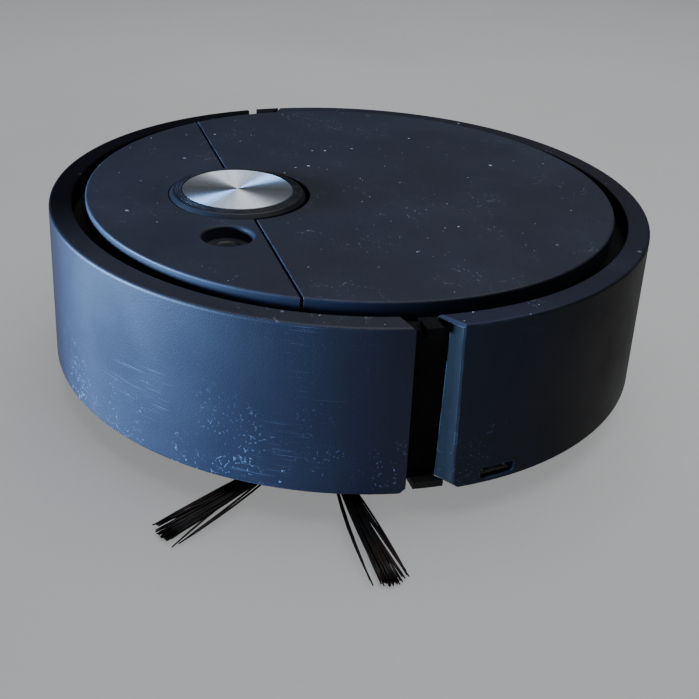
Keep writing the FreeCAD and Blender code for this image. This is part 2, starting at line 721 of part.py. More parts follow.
def mid_frame():
    """Inner frame: round wall, top deck, lid coaming, side posts, hinge ears and bosses."""
    wall = upright_tube(FRAME_WALL_OUTER, FRAME_WALL_INNER, BASE_TOP, FRAME_TOP)
    top = upright(FRAME_WALL_OUTER, FRAME_TOP - FRAME_PLATE, FRAME_TOP)
    coaming_top = LID_TOP - LID_THICKNESS - 0.4
    coaming = upright_tube(COAMING_OUTER, COAMING_INNER, FRAME_TOP - 1, coaming_top)
    coaming = coaming.cut(box(-FAR, FAR, COAMING_FRONT, FAR, 0, ABOVE))
    pieces = [wall, top, coaming, both_sides(half_pillar()), both_sides(hinge_ears())]
    pieces.append(right_gap_cover())
    pieces += frame_guides()
    for x, y in BOARD_POSTS:
        pieces.append(upright(BOARD_POST_RADIUS, BOARD_BOTTOM + BOARD_THICKNESS, FRAME_TOP - 1, x, y))
    for degrees in BASE_SCREW_ANGLES:
        pieces.append(screw_boss(degrees))
    frame = fuse_all(pieces)
    cuts = [rounded_box(shrunk(BIN, -1.0), 50, ABOVE, 3.0)]
    cuts.append(upright(3.0, 50, ABOVE, BUTTON_X, BUTTON_Y))
    cuts += frame_guide_holes()
    cuts.append(both_sides(crosswise(HINGE_PIN_RADIUS, 40, 80, HINGE_Y, HINGE_Z)))
    cuts.append(box(-30, 30, -120, -100, 34, 58).cut(upright(105, 0, ABOVE)))
    for x, y in BOARD_POSTS:
        cuts.append(upright(BOARD_SCREW_SHANK + SCREW_FIT, 50, 62.5, x, y))
    for x, y in base_screw_places():
        cuts.append(upright(BASE_SCREW_SHANK + SCREW_FIT, 0, BASE_SCREW_TOP + 2, x, y))
    return frame.cut(Part.makeCompound(cuts))


def base_screws():
    screws = []
    head_bottom = BASE_BOTTOM + 0.1
    head_top = BASE_BOTTOM + 1.6
    for x, y in base_screw_places():
        head = upright(BASE_SCREW_HEAD, head_bottom, head_top, x, y)
        shank = upright(BASE_SCREW_SHANK, head_top, BASE_SCREW_TOP, x, y)
        recess = upright(1.1, 0, head_bottom + 0.9, x, y)
        screws.append(head.fuse(shank).cut(recess))
    return Part.makeCompound(screws)


def cliff_windows():
    """Four floor-sensor windows let into the underside, each with an emitter and a receiver."""
    windows = []
    for x, y in cliff_window_places():
        window = box(x - CLIFF_HALF_LENGTH, x + CLIFF_HALF_LENGTH, y - CLIFF_HALF_WIDTH,
                     y + CLIFF_HALF_WIDTH, BASE_BOTTOM + 0.2, BASE_TOP)
        for offset in (-3.4, 3.4):
            window = window.cut(upright(2.1, 0, BASE_BOTTOM + 0.8, x + offset, y))
        windows.append(window)
    return Part.makeCompound(windows)


# ---------------------------------------------------------------- deck
def front_panel():
    """Front deck panel with its skirt, the sunk button well and a round seat for the disc."""
    under = PANEL_TOP - PANEL_THICKNESS
    panel = turned([
        (0, under, 0), (PANEL_RADIUS - DECK_SKIRT, under, 0),
        (PANEL_RADIUS - DECK_SKIRT, FRAME_TOP, 0), (PANEL_RADIUS, FRAME_TOP, 0),
        (PANEL_RADIUS, PANEL_TOP, 0.7), (0, PANEL_TOP, 0),
    ], facets=EDGE_FACETS)
    panel = panel.cut(box(-FAR, FAR, -FAR, PANEL_REAR_EDGE, 0, ABOVE))
    well_outer = BUTTON_WELL_RADIUS + BUTTON_WELL_WALL
    panel = panel.fuse(upright(well_outer, BUTTON_WELL_FLOOR - 3.2, PANEL_TOP - 1, BUTTON_X, BUTTON_Y))
    hole = BUTTON_RADIUS + DECK_CLEARANCE
    mouth = BUTTON_WELL_RADIUS + 0.1
    opening = turned([
        (0, 60, 0), (hole, 60, 0), (hole, BUTTON_WELL_FLOOR, 0),
        (BUTTON_WELL_FLOOR_RADIUS, BUTTON_WELL_FLOOR, 0), (mouth - 0.6, PANEL_TOP - 0.6, 0),
        (mouth, PANEL_TOP, 0), (mouth, ABOVE, 0), (0, ABOVE, 0),
    ], BUTTON_X, BUTTON_Y)
    panel = panel.cut(opening)
    return panel.cut(upright(DISC_RIM_RADIUS + DECK_CLEARANCE, 0, ABOVE, 0, DISC_Y))


def lid_front_bevel():
    """Wedge that takes the sharp corner off the lid's straight front edge."""
    size = 0.3
    y = LID_FRONT_EDGE + 0.1
    corners = [Vector(-FAR, y - size, LID_TOP), Vector(-FAR, y, LID_TOP), Vector(-FAR, y, LID_TOP - size)]
    return Part.Face(Part.makePolygon(corners + [corners[0]])).extrude(Vector(2 * FAR, 0, 0))


def lid_knuckles():
    """Two knuckles under the lid, each on a short web."""
    low = HINGE_X - KNUCKLE_HALF
    high = HINGE_X + KNUCKLE_HALF
    knuckle = crosswise(HINGE_KNUCKLE_RADIUS, low, high, HINGE_Y, HINGE_Z)
    web_top = LID_TOP - LID_THICKNESS + 0.5
    web = box(low, high, HINGE_Y - 1.5, HINGE_Y + 1.5, HINGE_Z, web_top)
    return both_sides(knuckle.fuse(web))


def dust_lid():
    """Rear deck lid: plate, skirt, half-round notch for the disc and two hinge knuckles."""
    under = LID_TOP - LID_THICKNESS
    inner = LID_RADIUS - DECK_SKIRT
    lid = turned([
        (0, under, 0), (inner, under, 0), (inner, LID_SKIRT_BOTTOM, 0),
        (LID_RADIUS, LID_SKIRT_BOTTOM, 0), (LID_RADIUS, LID_TOP, 0.8), (0, LID_TOP, 0),
    ], facets=EDGE_FACETS)
    lid = lid.cut(box(-FAR, FAR, LID_FRONT_EDGE, FAR, 0, ABOVE))
    lid = lid.cut(lid_front_bevel())
    lid = lid.cut(upright(LID_NOTCH_RADIUS, 0, ABOVE, 0, DISC_Y))
    pin_bore = crosswise(HINGE_PIN_RADIUS + 0.05, HINGE_X - 12, HINGE_X + 12, HINGE_Y, HINGE_Z)
    return lid.fuse(lid_knuckles()).removeSplitter().cut(both_sides(pin_bore))


def hinge_pins():
    reach = KNUCKLE_HALF + 0.3 + EAR_THICKNESS
    pin = crosswise(HINGE_PIN_RADIUS, HINGE_X - reach, HINGE_X + reach, HINGE_Y, HINGE_Z)
    return Part.makeCompound([pin, mirrored(pin, LEFT)])


def disc_rim():
    """Raised black rim, bevelled outside, with fine rings turned in its sloping top."""
    lip = DISC_RADIUS + 0.15
    seat = DISC_TOP - DISC_INSET
    roof = seat - 2.3
    rim = turned([
        (DISC_RIM_HOLLOW, FRAME_TOP, 0), (DISC_RIM_RADIUS, FRAME_TOP, 0),
        (DISC_RIM_RADIUS, DISC_RIM_EDGE_Z - 1.6, 0.6), (DISC_RIM_EDGE_RADIUS, DISC_RIM_EDGE_Z, 0.8),
        (lip, DISC_TOP, 0), (lip, seat, 0), (10.0, seat, 0), (10.0, roof, 0), (DISC_RIM_HOLLOW, roof, 0),
    ], 0, DISC_Y)
    slope = (DISC_TOP - DISC_RIM_EDGE_Z) / (DISC_RIM_EDGE_RADIUS - lip)
    half = 0.15
    for radius in DISC_RIM_GROOVES:
        bottom = DISC_TOP - (radius - lip) * slope - half
        rim = rim.cut(upright_tube(radius + half, radius - half, bottom, ABOVE, 0, DISC_Y))
    return rim


def aluminium_disc():
    edge = 0.3
    return turned([
        (0, DISC_TOP - DISC_INSET, 0), (DISC_RADIUS, DISC_TOP - DISC_INSET, 0),
        (DISC_RADIUS, DISC_TOP - edge, 0), (DISC_RADIUS - edge, DISC_TOP, 0), (0, DISC_TOP, 0),
    ], 0, DISC_Y)


def power_button():
    """Cap with a shallow dish, a retaining flange and a stem over the switch."""
    stem = BUTTON_STEM_RADIUS
    flange_bottom = BUTTON_TOP - 5.7
    flange_top = BUTTON_TOP - 4.2
    dish = BUTTON_TOP - 0.5
    return turned([
        (0, flange_bottom - 3, 0), (stem, flange_bottom - 3, 0), (stem, flange_bottom, 0),
        (BUTTON_FLANGE_RADIUS, flange_bottom, 0), (BUTTON_FLANGE_RADIUS, flange_top, 0),
        (BUTTON_RADIUS, flange_top, 0), (BUTTON_RADIUS, BUTTON_TOP, 0.5), (5.0, BUTTON_TOP, 0.3),
        (4.4, dish, 0.3), (0, dish, 0),
    ], BUTTON_X, BUTTON_Y)


def button_switch():
    top = BOARD_BOTTOM + BOARD_THICKNESS
    body = box(BUTTON_X - 3, BUTTON_X + 3, BUTTON_Y - 3, BUTTON_Y + 3, top, 62.6)
    return body.fuse(upright(1.5, 62.5, 63.2, BUTTON_X, BUTTON_Y))


# ---------------------------------------------------------------- drive wheels
def wheel_cover(side):
    """Upright cover over the wheel, its arm and motor, with the stub that the arm turns on."""
    cover = rounded_box(WHEEL_COVER, BASE_TOP, WHEEL_COVER_TOP, 2.0)
    inner = rounded_box(shrunk(WHEEL_COVER, WHEEL_COVER_WALL), 0, WHEEL_COVER_TOP - WHEEL_COVER_WALL, 1.0)
    reach = FRAME_WALL_INNER - DECK_CLEARANCE
    limit = upright(reach, 0, ABOVE)
    inner_limit = upright(reach - WHEEL_COVER_WALL, 0, ABOVE)
    cover = cover.common(limit).cut(inner.common(inner_limit))
    inside_x = WHEEL_COVER[0] + WHEEL_COVER_WALL
    stub_end = ARM_INNER_X + 3.0
    stub = crosswise(ARM_STUB_RADIUS, inside_x - 0.5, stub_end, ARM_PIVOT_Y, ARM_PIVOT_Z)
    return mirrored(cover.fuse(stub), side)


def wheel_arm(side):
    """Gearbox arm from the motor axis to the wheel axle."""
    pivot = crosswise(ARM_RADIUS, ARM_INNER_X, ARM_OUTER_X, ARM_PIVOT_Y, ARM_PIVOT_Z)
    axle_end = crosswise(ARM_RADIUS, ARM_INNER_X, ARM_OUTER_X, WHEEL_Y, WHEEL_RADIUS)
    lean = math.atan2(WHEEL_RADIUS - ARM_PIVOT_Z, WHEEL_Y - ARM_PIVOT_Y)
    span = math.hypot(WHEEL_RADIUS - ARM_PIVOT_Z, WHEEL_Y - ARM_PIVOT_Y)
    bar = box(ARM_INNER_X, ARM_OUTER_X, 0, span, -ARM_RADIUS, ARM_RADIUS)
    bar.rotate(Vector(0, 0, 0), Vector(1, 0, 0), math.degrees(lean))
    bar.translate(Vector(0, ARM_PIVOT_Y, ARM_PIVOT_Z))
    arm = fuse_all([pivot, axle_end, bar])
    fit = 0.05
    axle_start = AXLE_INNER_X - 0.2
    axle_hole = crosswise(AXLE_RADIUS + fit, axle_start, ARM_OUTER_X + 1, WHEEL_Y, WHEEL_RADIUS)
    stub_end = ARM_INNER_X + 3.4
    stub_hole = crosswise(ARM_STUB_RADIUS + fit, ARM_INNER_X - 1, stub_end, ARM_PIVOT_Y, ARM_PIVOT_Z)
    return mirrored(arm.cut(axle_hole).cut(stub_hole), side)


def wheel_motor(side):
    can_end = MOTOR_OUTER_X - 2.5
    cap_radius = 4.0
    can = crosswise(MOTOR_RADIUS, ARM_OUTER_X, can_end, ARM_PIVOT_Y, ARM_PIVOT_Z)
    cap = crosswise(cap_radius, can_end - 0.5, MOTOR_OUTER_X, ARM_PIVOT_Y, ARM_PIVOT_Z)
    return mirrored(can.fuse(cap), side)


def wheel_axle(side):
    outer_end = WHEEL_INNER_X + WHEEL_WIDTH - 1
    return mirrored(crosswise(AXLE_RADIUS, AXLE_INNER_X, outer_end, WHEEL_Y, WHEEL_RADIUS), side)


def wheel_hub(side):
    """Wheel body with a recess round its boss on both sides, pressed on the axle."""
    low = WHEEL_INNER_X
    high = WHEEL_INNER_X + WHEEL_WIDTH
    recess = 4.0
    recess_radius = WHEEL_HUB_RADIUS - 3.0
    boss_radius = 6.5
    rim = crosswise(WHEEL_HUB_RADIUS, low, high, WHEEL_Y, WHEEL_RADIUS)
    rim = rim.cut(crosswise(recess_radius, low - 1, low + recess, WHEEL_Y, WHEEL_RADIUS))
    rim = rim.cut(crosswise(recess_radius, high - recess, high + 1, WHEEL_Y, WHEEL_RADIUS))
    rim = rim.fuse(crosswise(boss_radius, low, high, WHEEL_Y, WHEEL_RADIUS))
    rim = rim.cut(crosswise(AXLE_RADIUS, low - 1, high - 1, WHEEL_Y, WHEEL_RADIUS))
    return mirrored(rim, side)


def wheel_tyre(side):
    """Rubber tyre with straight lugs across its tread."""
    overlap = 0.4
    low = WHEEL_INNER_X - overlap
    high = WHEEL_INNER_X + WHEEL_WIDTH + overlap
    half_gap = 1.3
    tyre = crosswise(WHEEL_RADIUS, low, high, WHEEL_Y, WHEEL_RADIUS)
    tyre = tyre.cut(crosswise(WHEEL_HUB_RADIUS, low - 1, high + 1, WHEEL_Y, WHEEL_RADIUS))
    grooves = []
    step = 360.0 / TREAD_LUGS
    for index in range(TREAD_LUGS):
        groove = box(low, high, -half_gap, half_gap, WHEEL_RADIUS - TREAD_DEPTH, WHEEL_RADIUS + 2)
        groove.rotate(Vector(0, 0, 0), Vector(1, 0, 0), (index + 0.5) * step)
        groove.translate(Vector(0, WHEEL_Y, WHEEL_RADIUS))
        grooves.append(groove)
    return mirrored(tyre.cut(Part.makeCompound(grooves)), side)


# ---------------------------------------------------------------- side brushes
def brush_motor(side):
    """Flat gearbox with its motor can on top, bored from below for the output shaft."""
    across = BRUSH_GEARBOX_HALF_WIDTH
    along = BRUSH_GEARBOX_HALF_DEPTH
    limits = (BRUSH_X - across, BRUSH_X + across, BRUSH_Y - along, BRUSH_Y + along)
    gearbox = rounded_box(limits, BRUSH_GEARBOX_BOTTOM, BRUSH_GEARBOX_TOP, 3.0)
    can = upright(BRUSH_MOTOR_RADIUS, BRUSH_GEARBOX_TOP, BRUSH_MOTOR_TOP, BRUSH_X, BRUSH_Y)
    bore = upright(BRUSH_SHAFT_RADIUS + 0.05, 0, BRUSH_SHAFT_TOP + 0.2, BRUSH_X, BRUSH_Y)
    return mirrored(gearbox.fuse(can).cut(bore), side)


def brush_shaft(side):
    low = BRUSH_HUB_BOTTOM + 1.3
    return mirrored(upright(BRUSH_SHAFT_RADIUS, low, BRUSH_SHAFT_TOP, BRUSH_X, BRUSH_Y), side)


def tuft_angles():
    return [TUFT_START + index * 360.0 / BRUSH_TUFTS for index in range(BRUSH_TUFTS)]


def tuft(degrees):
    """One tapered tuft from the hub to its tip near the floor."""
    start_x, start_y = polar(BRUSH_HUB_RADIUS + 0.1, degrees)
    tip_x, tip_y = polar(BRUSH_TIP_RADIUS, degrees)
    start = Vector(BRUSH_X + start_x, BRUSH_Y + start_y, TUFT_ROOT_Z)
    tip = Vector(BRUSH_X + tip_x, BRUSH_Y + tip_y, TUFT_TIP_Z)
    along = tip - start
    return Part.makeCone(TUFT_ROOT_RADIUS, TUFT_TIP_RADIUS, along.Length, start, along)


def brush_hub(side):
    """Chamfered hub, bored for the shaft, with a sunk seat for its screw."""
    hub = upright(BRUSH_HUB_RADIUS, BRUSH_HUB_BOTTOM, BRUSH_HUB_TOP, BRUSH_X, BRUSH_Y)
    hub = hub.makeChamfer(0.6, [hub.Edges[0], hub.Edges[2]])
    hub = hub.cut(upright(BRUSH_SHAFT_RADIUS, BRUSH_HUB_BOTTOM + 1.2, ABOVE, BRUSH_X, BRUSH_Y))
    hub = hub.cut(upright(3.4, 0, BRUSH_HUB_BOTTOM + 0.7, BRUSH_X, BRUSH_Y))
    return mirrored(hub.cut(upright(1.0, 0, ABOVE, BRUSH_X, BRUSH_Y)), side)


def brush_screw(side):
    head = upright(2.6, BRUSH_HUB_BOTTOM - 0.3, BRUSH_HUB_BOTTOM + 0.7, BRUSH_X, BRUSH_Y)
    shank = upright(0.9, BRUSH_HUB_BOTTOM + 0.5, BRUSH_HUB_BOTTOM + 1.2, BRUSH_X, BRUSH_Y)
    return mirrored(head.fuse(shank), side)


def brush_bristles(side):
    tufts = [tuft(degrees) for degrees in tuft_angles()]
    return mirrored(Part.makeCompound(tufts), side)


# ---------------------------------------------------------------- caster
def caster_cup():
    """Round cup over the caster, with a neck bored for the fork's stem."""
    cup_top = 26.5
    ceiling = 24.5
    neck_radius = 6.0
    neck_top = 33.0
    bore = CASTER_STEM_RADIUS + 0.05
    return turned([
        (CASTER_CUP_INNER, BASE_TOP, 0), (CASTER_CUP_OUTER, BASE_TOP, 0), (CASTER_CUP_OUTER, cup_top, 1.0),
        (neck_radius, cup_top, 0), (neck_radius, neck_top, 0.8), (bore, neck_top, 0),
        (bore, ceiling, 0), (CASTER_CUP_INNER, ceiling, 0),
    ], 0, CASTER_Y)


def caster_fork():
    """Crown with a stem above and two cheeks beside the wheel."""
    wheel_y = CASTER_Y - CASTER_TRAIL
    crown_radius = 10.0
    crown_bottom = 19.0
    crown_top = 21.6
    stem_top = 32.0
    half_depth = 3.4
    crown = upright(crown_radius, crown_bottom, crown_top, 0, CASTER_Y)
    stem = upright(CASTER_STEM_RADIUS, crown_top - 0.6, stem_top, 0, CASTER_Y)
    inner = CASTER_CHEEK_REACH - CASTER_CHEEK_THICKNESS
    cheek = box(inner, CASTER_CHEEK_REACH, wheel_y - half_depth, wheel_y + half_depth,
                CASTER_RADIUS, crown_bottom + 1)
    foot = crosswise(half_depth, inner, CASTER_CHEEK_REACH, wheel_y, CASTER_RADIUS)
    fork = fuse_all([crown, stem, both_sides(cheek.fuse(foot))])
    reach = CASTER_CHEEK_REACH + 1
    return fork.cut(crosswise(CASTER_AXLE_RADIUS, -reach, reach, wheel_y, CASTER_RADIUS))


def caster_axle():
    reach = CASTER_CHEEK_REACH
    return crosswise(CASTER_AXLE_RADIUS, -reach, reach, CASTER_Y - CASTER_TRAIL, CASTER_RADIUS)


def caster_wheel():
    half = CASTER_WIDTH / 2
    wheel = crosswise(CASTER_RADIUS, -half, half, CASTER_Y - CASTER_TRAIL, CASTER_RADIUS)
    wheel = wheel.makeFillet(1.2, [wheel.Edges[0], wheel.Edges[2]])
    bore = crosswise(CASTER_AXLE_RADIUS + 0.05, -20, 20, CASTER_Y - CASTER_TRAIL, CASTER_RADIUS)
    return wheel.cut(bore)


# ---------------------------------------------------------------- air path and dust bin
def suction_inlet():
    """Nozzle from the underside slot up to the floor of the dust bin, with a rail for the scraper."""
    body = rounded_box(INLET, BASE_BOTTOM + 0.3, BIN_BOTTOM - 0.2, 2.0)
    body = body.cut(rounded_box(shrunk(INLET, INLET_WALL), 0, ABOVE, 2.0))
    rail_rear = INLET[2] - SCRAPER_THICKNESS - 0.8
    rail = box(INLET[0], INLET[1], rail_rear, INLET[2] - SCRAPER_THICKNESS, 15.0, 20.0)
    bridge = box(INLET[0], INLET[1], rail_rear, INLET[2] + 0.5, SCRAPER_TOP, 20.0)
    return fuse_all([body, rail, bridge])


def inlet_scraper():
    rear = INLET[2] - SCRAPER_THICKNESS
    return box(INLET[0] + 1, INLET[1] - 1, rear, INLET[2], SCRAPER_BOTTOM, SCRAPER_TOP)


def dust_bin():
    """Open-topped bin with an inlet chimney and a filter window in its rear wall."""
    body = rounded_box(BIN, BIN_BOTTOM, FRAME_TOP, 3.0)
    body = body.cut(rounded_box(shrunk(BIN, BIN_WALL), BIN_BOTTOM + BIN_WALL, ABOVE, 2.0))
    mouth = shrunk(INLET, INLET_WALL + 1.0)
    chimney = rounded_box(shrunk(mouth, -1.4), BIN_BOTTOM + 1, CHIMNEY_TOP, 2.0)
    body = body.fuse(chimney).cut(rounded_box(mouth, 0, ABOVE, 1.5))
    half = FILTER_HALF_WIDTH - 3.0
    low = FILTER_BOTTOM + FILTER_BORDER
    high = FILTER_TOP - FILTER_BORDER
    return body.cut(box(-half, half, BIN[2] - 1, BIN[2] + BIN_WALL + 0.1, low, high))


def bin_lid():
    """Lid of the bin with a lifting handle."""
    bottom = FRAME_TOP + 0.2
    top = bottom + 2.0
    lid = rounded_box(shrunk(BIN, -2.5), bottom, top, 4.0)
    lid = lid.cut(upright(LID_NOTCH_RADIUS - 0.3, 0, ABOVE, 0, DISC_Y))
    half = HANDLE_HALF_WIDTH
    handle = box(-half, half, -12, -5, FRAME_TOP + 2, HANDLE_TOP)
    grip = half - HANDLE_WALL
    handle = handle.cut(box(-grip, grip, -20, 5, top, HANDLE_TOP - 1.4))
    return lid.fuse(handle).removeSplitter()


def dust_filter():
    """Pleated filter block in its frame, against the bin's rear window."""
    front = BIN[2] + BIN_WALL + 0.2
    half = FILTER_HALF_WIDTH
    block = box(-half, half, front, front + FILTER_DEPTH, FILTER_BOTTOM, FILTER_TOP)
    low = FILTER_BOTTOM + FILTER_BORDER
    high = FILTER_TOP - FILTER_BORDER
    first = -half + FILTER_BORDER + 2.0
    step = -2 * first / (PLEATS - 1)
    pleats = []
    for index in range(PLEATS):
        x = first + index * step
        pleats.append(box(x - PLEAT_GAP / 2, x + PLEAT_GAP / 2, front + 4, front + 8, low, high))
    return block.cut(Part.makeCompound(pleats))


def fan_housing():
    """Round fan case with an inlet eye on top and an outlet duct towards the rear."""
    case = upright(FAN_RADIUS, BASE_TOP, FAN_TOP, 0, FAN_Y)
    inner = FAN_RADIUS - FAN_WALL
    case = case.cut(upright(inner, BASE_TOP + FAN_WALL, FAN_DECK_BOTTOM, 0, FAN_Y))
    case = case.cut(upright(inner, FAN_DECK_TOP, FAN_TOP - FAN_WALL, 0, FAN_Y))
    x_low, x_high, z_low, z_high = DUCT
    wall = DUCT_WALL
    duct_end = -107.5
    duct = box(x_low, x_high, duct_end, FAN_Y, z_low, z_high).cut(upright(inner, 0, ABOVE, 0, FAN_Y))
    case = case.fuse(duct)
    bore_end = FAN_Y - 12
    case = case.cut(box(x_low + wall, x_high - wall, -112, bore_end, z_low + wall, z_high - wall))
    case = case.cut(upright(FAN_EYE_RADIUS, 50, ABOVE, 0, FAN_Y))
    case = case.common(upright(FRAME_WALL_INNER - 0.3, 0, ABOVE))
    return case.removeSplitter()


def fan_motor():
    can = upright(FAN_MOTOR_RADIUS, FAN_DECK_TOP, FAN_MOTOR_TOP, 0, FAN_Y)
    return can.cut(upright(FAN_SHAFT_RADIUS + 0.05, FAN_DECK_TOP + 5, ABOVE, 0, FAN_Y))


def fan_shaft():
    return upright(FAN_SHAFT_RADIUS, FAN_DECK_TOP + 5.2, IMPELLER_TOP - 1, 0, FAN_Y)


def fan_impeller():
    """Back plate, hub and backward-leaning blades."""
    hub_radius = 4.0
    back = upright(IMPELLER_RADIUS, IMPELLER_BOTTOM, IMPELLER_BOTTOM + 1.4, 0, FAN_Y)
    pieces = [back, upright(hub_radius, IMPELLER_BOTTOM, IMPELLER_TOP, 0, FAN_Y)]
    start = hub_radius - 0.5
    for index in range(IMPELLER_BLADES):
        blade = box(start, IMPELLER_RADIUS - 1.5, -0.5, 0.5, IMPELLER_BOTTOM + 1, IMPELLER_TOP)
        blade.rotate(Vector(start, 0, 0), Vector(0, 0, 1), 24)
        blade.rotate(Vector(0, 0, 0), Vector(0, 0, 1), index * 360.0 / IMPELLER_BLADES)
        blade.translate(Vector(0, FAN_Y, 0))
        pieces.append(blade)
    return fuse_all(pieces).cut(upright(FAN_SHAFT_RADIUS, 40, 60, 0, FAN_Y))


# ---------------------------------------------------------------- battery and electronics
def battery_pack():
    """Three cells side by side in one sleeve."""
    half_length = CELL_LENGTH / 2
    first = BATTERY_Y - (CELL_COUNT - 1) * CELL_RADIUS
    last = BATTERY_Y + (CELL_COUNT - 1) * CELL_RADIUS
    pieces = [box(-half_length, half_length, first, last, BATTERY_Z - CELL_RADIUS + 0.6, BATTERY_Z + 8.6)]
    for index in range(CELL_COUNT):
        y = first + index * 2 * CELL_RADIUS
        pieces.append(crosswise(CELL_RADIUS, -half_length, half_length, y, BATTERY_Z))
    return fuse_all(pieces)


def battery_cover():
    """Cover let into the underside, with two screw seats and a few finger grooves."""
    cover = rounded_box(BATTERY_COVER, BASE_BOTTOM, BASE_BOTTOM + BATTERY_COVER_THICKNESS, 2.7)
    cover = cover.cut(both_sides(upright(2.1, 0, BASE_BOTTOM + 0.6, BATTERY_SCREW_X, BATTERY_Y)))
    cover = cover.cut(both_sides(upright(1.0, 0, ABOVE, BATTERY_SCREW_X, BATTERY_Y)))
    first_groove = BATTERY_COVER[2] + 9.2
    for index in range(5):
        y = first_groove + index * 3.0
        cover = cover.cut(box(-8, 8, y - 0.5, y + 0.5, 0, BASE_BOTTOM + 0.4))
    return cover


def battery_cover_screws():
    head = upright(1.9, BASE_BOTTOM + 0.05, BASE_BOTTOM + 0.6, BATTERY_SCREW_X, BATTERY_Y)
    shank = upright(0.9, BASE_BOTTOM + 0.5, BASE_TOP + 1, BATTERY_SCREW_X, BATTERY_Y)
    screw = head.fuse(shank)
    return Part.makeCompound([screw, mirrored(screw, LEFT)])


def main_board():
    """Board with its front corners cut off, on four posts under the frame's deck."""
    corners = [(-58, 47, 2), (58, 47, 2), (58, 84, 2), (44, 96, 2), (-44, 96, 2), (-58, 84, 2)]
    board = plate(corners, BOARD_BOTTOM, BOARD_BOTTOM + BOARD_THICKNESS)
    for x, y in BOARD_POSTS:
        board = board.cut(upright(BOARD_SCREW_SHANK + 0.1, 0, ABOVE, x, y))
    return board


def board_parts():
    """Chips, connectors and a buzzer under the board."""
    under = BOARD_BOTTOM
    chip_height = 1.6
    connector_height = 6.0
    buzzer_height = 8.0
    capacitor_height = 7.0
    capacitor_spacing = 9.0
    pieces = [box(-9, 9, 60, 78, under - chip_height, under)]
    for low, high in ((-36, -26), (18, 26)):
        pieces.append(box(low, high, 62, 70, under - chip_height, under))
    for low, high in ((-22, -14), (14, 22)):
        pieces.append(box(low, high, 88, 94, under - connector_height, under))
    pieces.append(upright(6.0, under - buzzer_height, under, 36, 76))
    for index in range(4):
        x = -40 + index * capacitor_spacing
        pieces.append(upright(2.6, under - capacitor_height, under, x, 82))
    return Part.makeCompound(pieces)


def board_screws():
    screws = []
    head_radius = 2.3
    head_height = 1.5
    tip = FRAME_TOP - 4.0
    for x, y in BOARD_POSTS:
        head = upright(head_radius, BOARD_BOTTOM - head_height, BOARD_BOTTOM, x, y)
        screws.append(head.fuse(upright(BOARD_SCREW_SHANK, BOARD_BOTTOM - 0.5, tip, x, y)))
    return Part.makeCompound(screws)


def bump_sensors():
    """Two slotted sensors that the bumper's flags move into."""
    sensors = []
    wide = SENSOR_HALF_WIDTH
    half_slot = SENSOR_SLOT / 2
    for side in (LEFT, RIGHT):
        x = side * SENSOR_X
        body = box(x - wide, x + wide, SENSOR_REAR, SENSOR_FRONT, SENSOR_BOTTOM, SENSOR_TOP)
        slot = box(x - half_slot, x + half_slot, SENSOR_REAR + 2.5, FAR, SENSOR_BOTTOM + 1.5, ABOVE)
        sensors.append(body.cut(slot))
    return Part.makeCompound(sensors)


def bumper_springs():
    """Coil springs on the bumper's guide rods."""
    springs = []
    for side in (LEFT, RIGHT):
        helix = Part.makeHelix(SPRING_PITCH, SPRING_PLATE_Y - SPRING_SEAT - 1.2, SPRING_RADIUS)
        ring = Part.Wire([Part.makeCircle(SPRING_WIRE, Vector(SPRING_RADIUS, 0, 0), Vector(0, 1, 0))])
        coil = Part.Wire(helix).makePipeShell([ring], True, True)
        coil.rotate(Vector(0, 0, 0), Vector(1, 0, 0), -90)
        coil.translate(Vector(side * GUIDE_X, SPRING_SEAT + 0.6, GUIDE_Z))
        springs.append(coil)
    return Part.makeCompound(springs)


# ---------------------------------------------------------------- write every sub-part
SINGLE_PARTS = {
    "base_plate": base_plate,
    "mid_frame": mid_frame,
    "rear_shell": rear_shell,
    "front_panel": front_panel,
    "disc_rim": disc_rim,
    "aluminium_disc": aluminium_disc,
    "dust_lid": dust_lid,
    "hinge_pins": hinge_pins,
    "power_button": power_button,
    "button_switch": button_switch,
    "front_bumper": front_bumper,
    "bumper_springs": bumper_springs,
    "bump_sensors": bump_sensors,
    "base_screws": base_screws,
    "cliff_windows": cliff_windows,
    "charging_socket": charging_socket,
    "battery_pack": battery_pack,
    "battery_cover": battery_cover,
    "battery_cover_screws": battery_cover_screws,
    "main_board": main_board,
    "board_parts": board_parts,
    "board_screws": board_screws,
    "suction_inlet": suction_inlet,
    "inlet_scraper": inlet_scraper,
    "dust_bin": dust_bin,
    "bin_lid": bin_lid,
    "dust_filter": dust_filter,
    "fan_housing": fan_housing,
    "fan_motor": fan_motor,
    "fan_shaft": fan_shaft,
    "fan_impeller": fan_impeller,
    "caster_cup": caster_cup,
    "caster_fork": caster_fork,
    "caster_axle": caster_axle,
    "caster_wheel": caster_wheel,
}

PAIRED_PARTS = {
    "wheel_cover": wheel_cover,
    "wheel_arm": wheel_arm,
    "wheel_motor": wheel_motor,
    "wheel_axle": wheel_axle,
    "wheel_hub": wheel_hub,
    "wheel_tyre": wheel_tyre,
    "brush_motor": brush_motor,
    "brush_shaft": brush_shaft,
    "brush_hub": brush_hub,
    "brush_screw": brush_screw,
    "brush_bristles": brush_bristles,
}

os.makedirs("parts", exist_ok=True)
for name, make in SINGLE_PARTS.items():
    make().exportStep("parts/" + name + ".step")
for name, make in PAIRED_PARTS.items():
    make(LEFT).exportStep("parts/" + name + "_left.step")
    make(RIGHT).exportStep("parts/" + name + "_right.step")
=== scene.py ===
import json
import math
import random

import bpy
from mathutils import Matrix, Vector


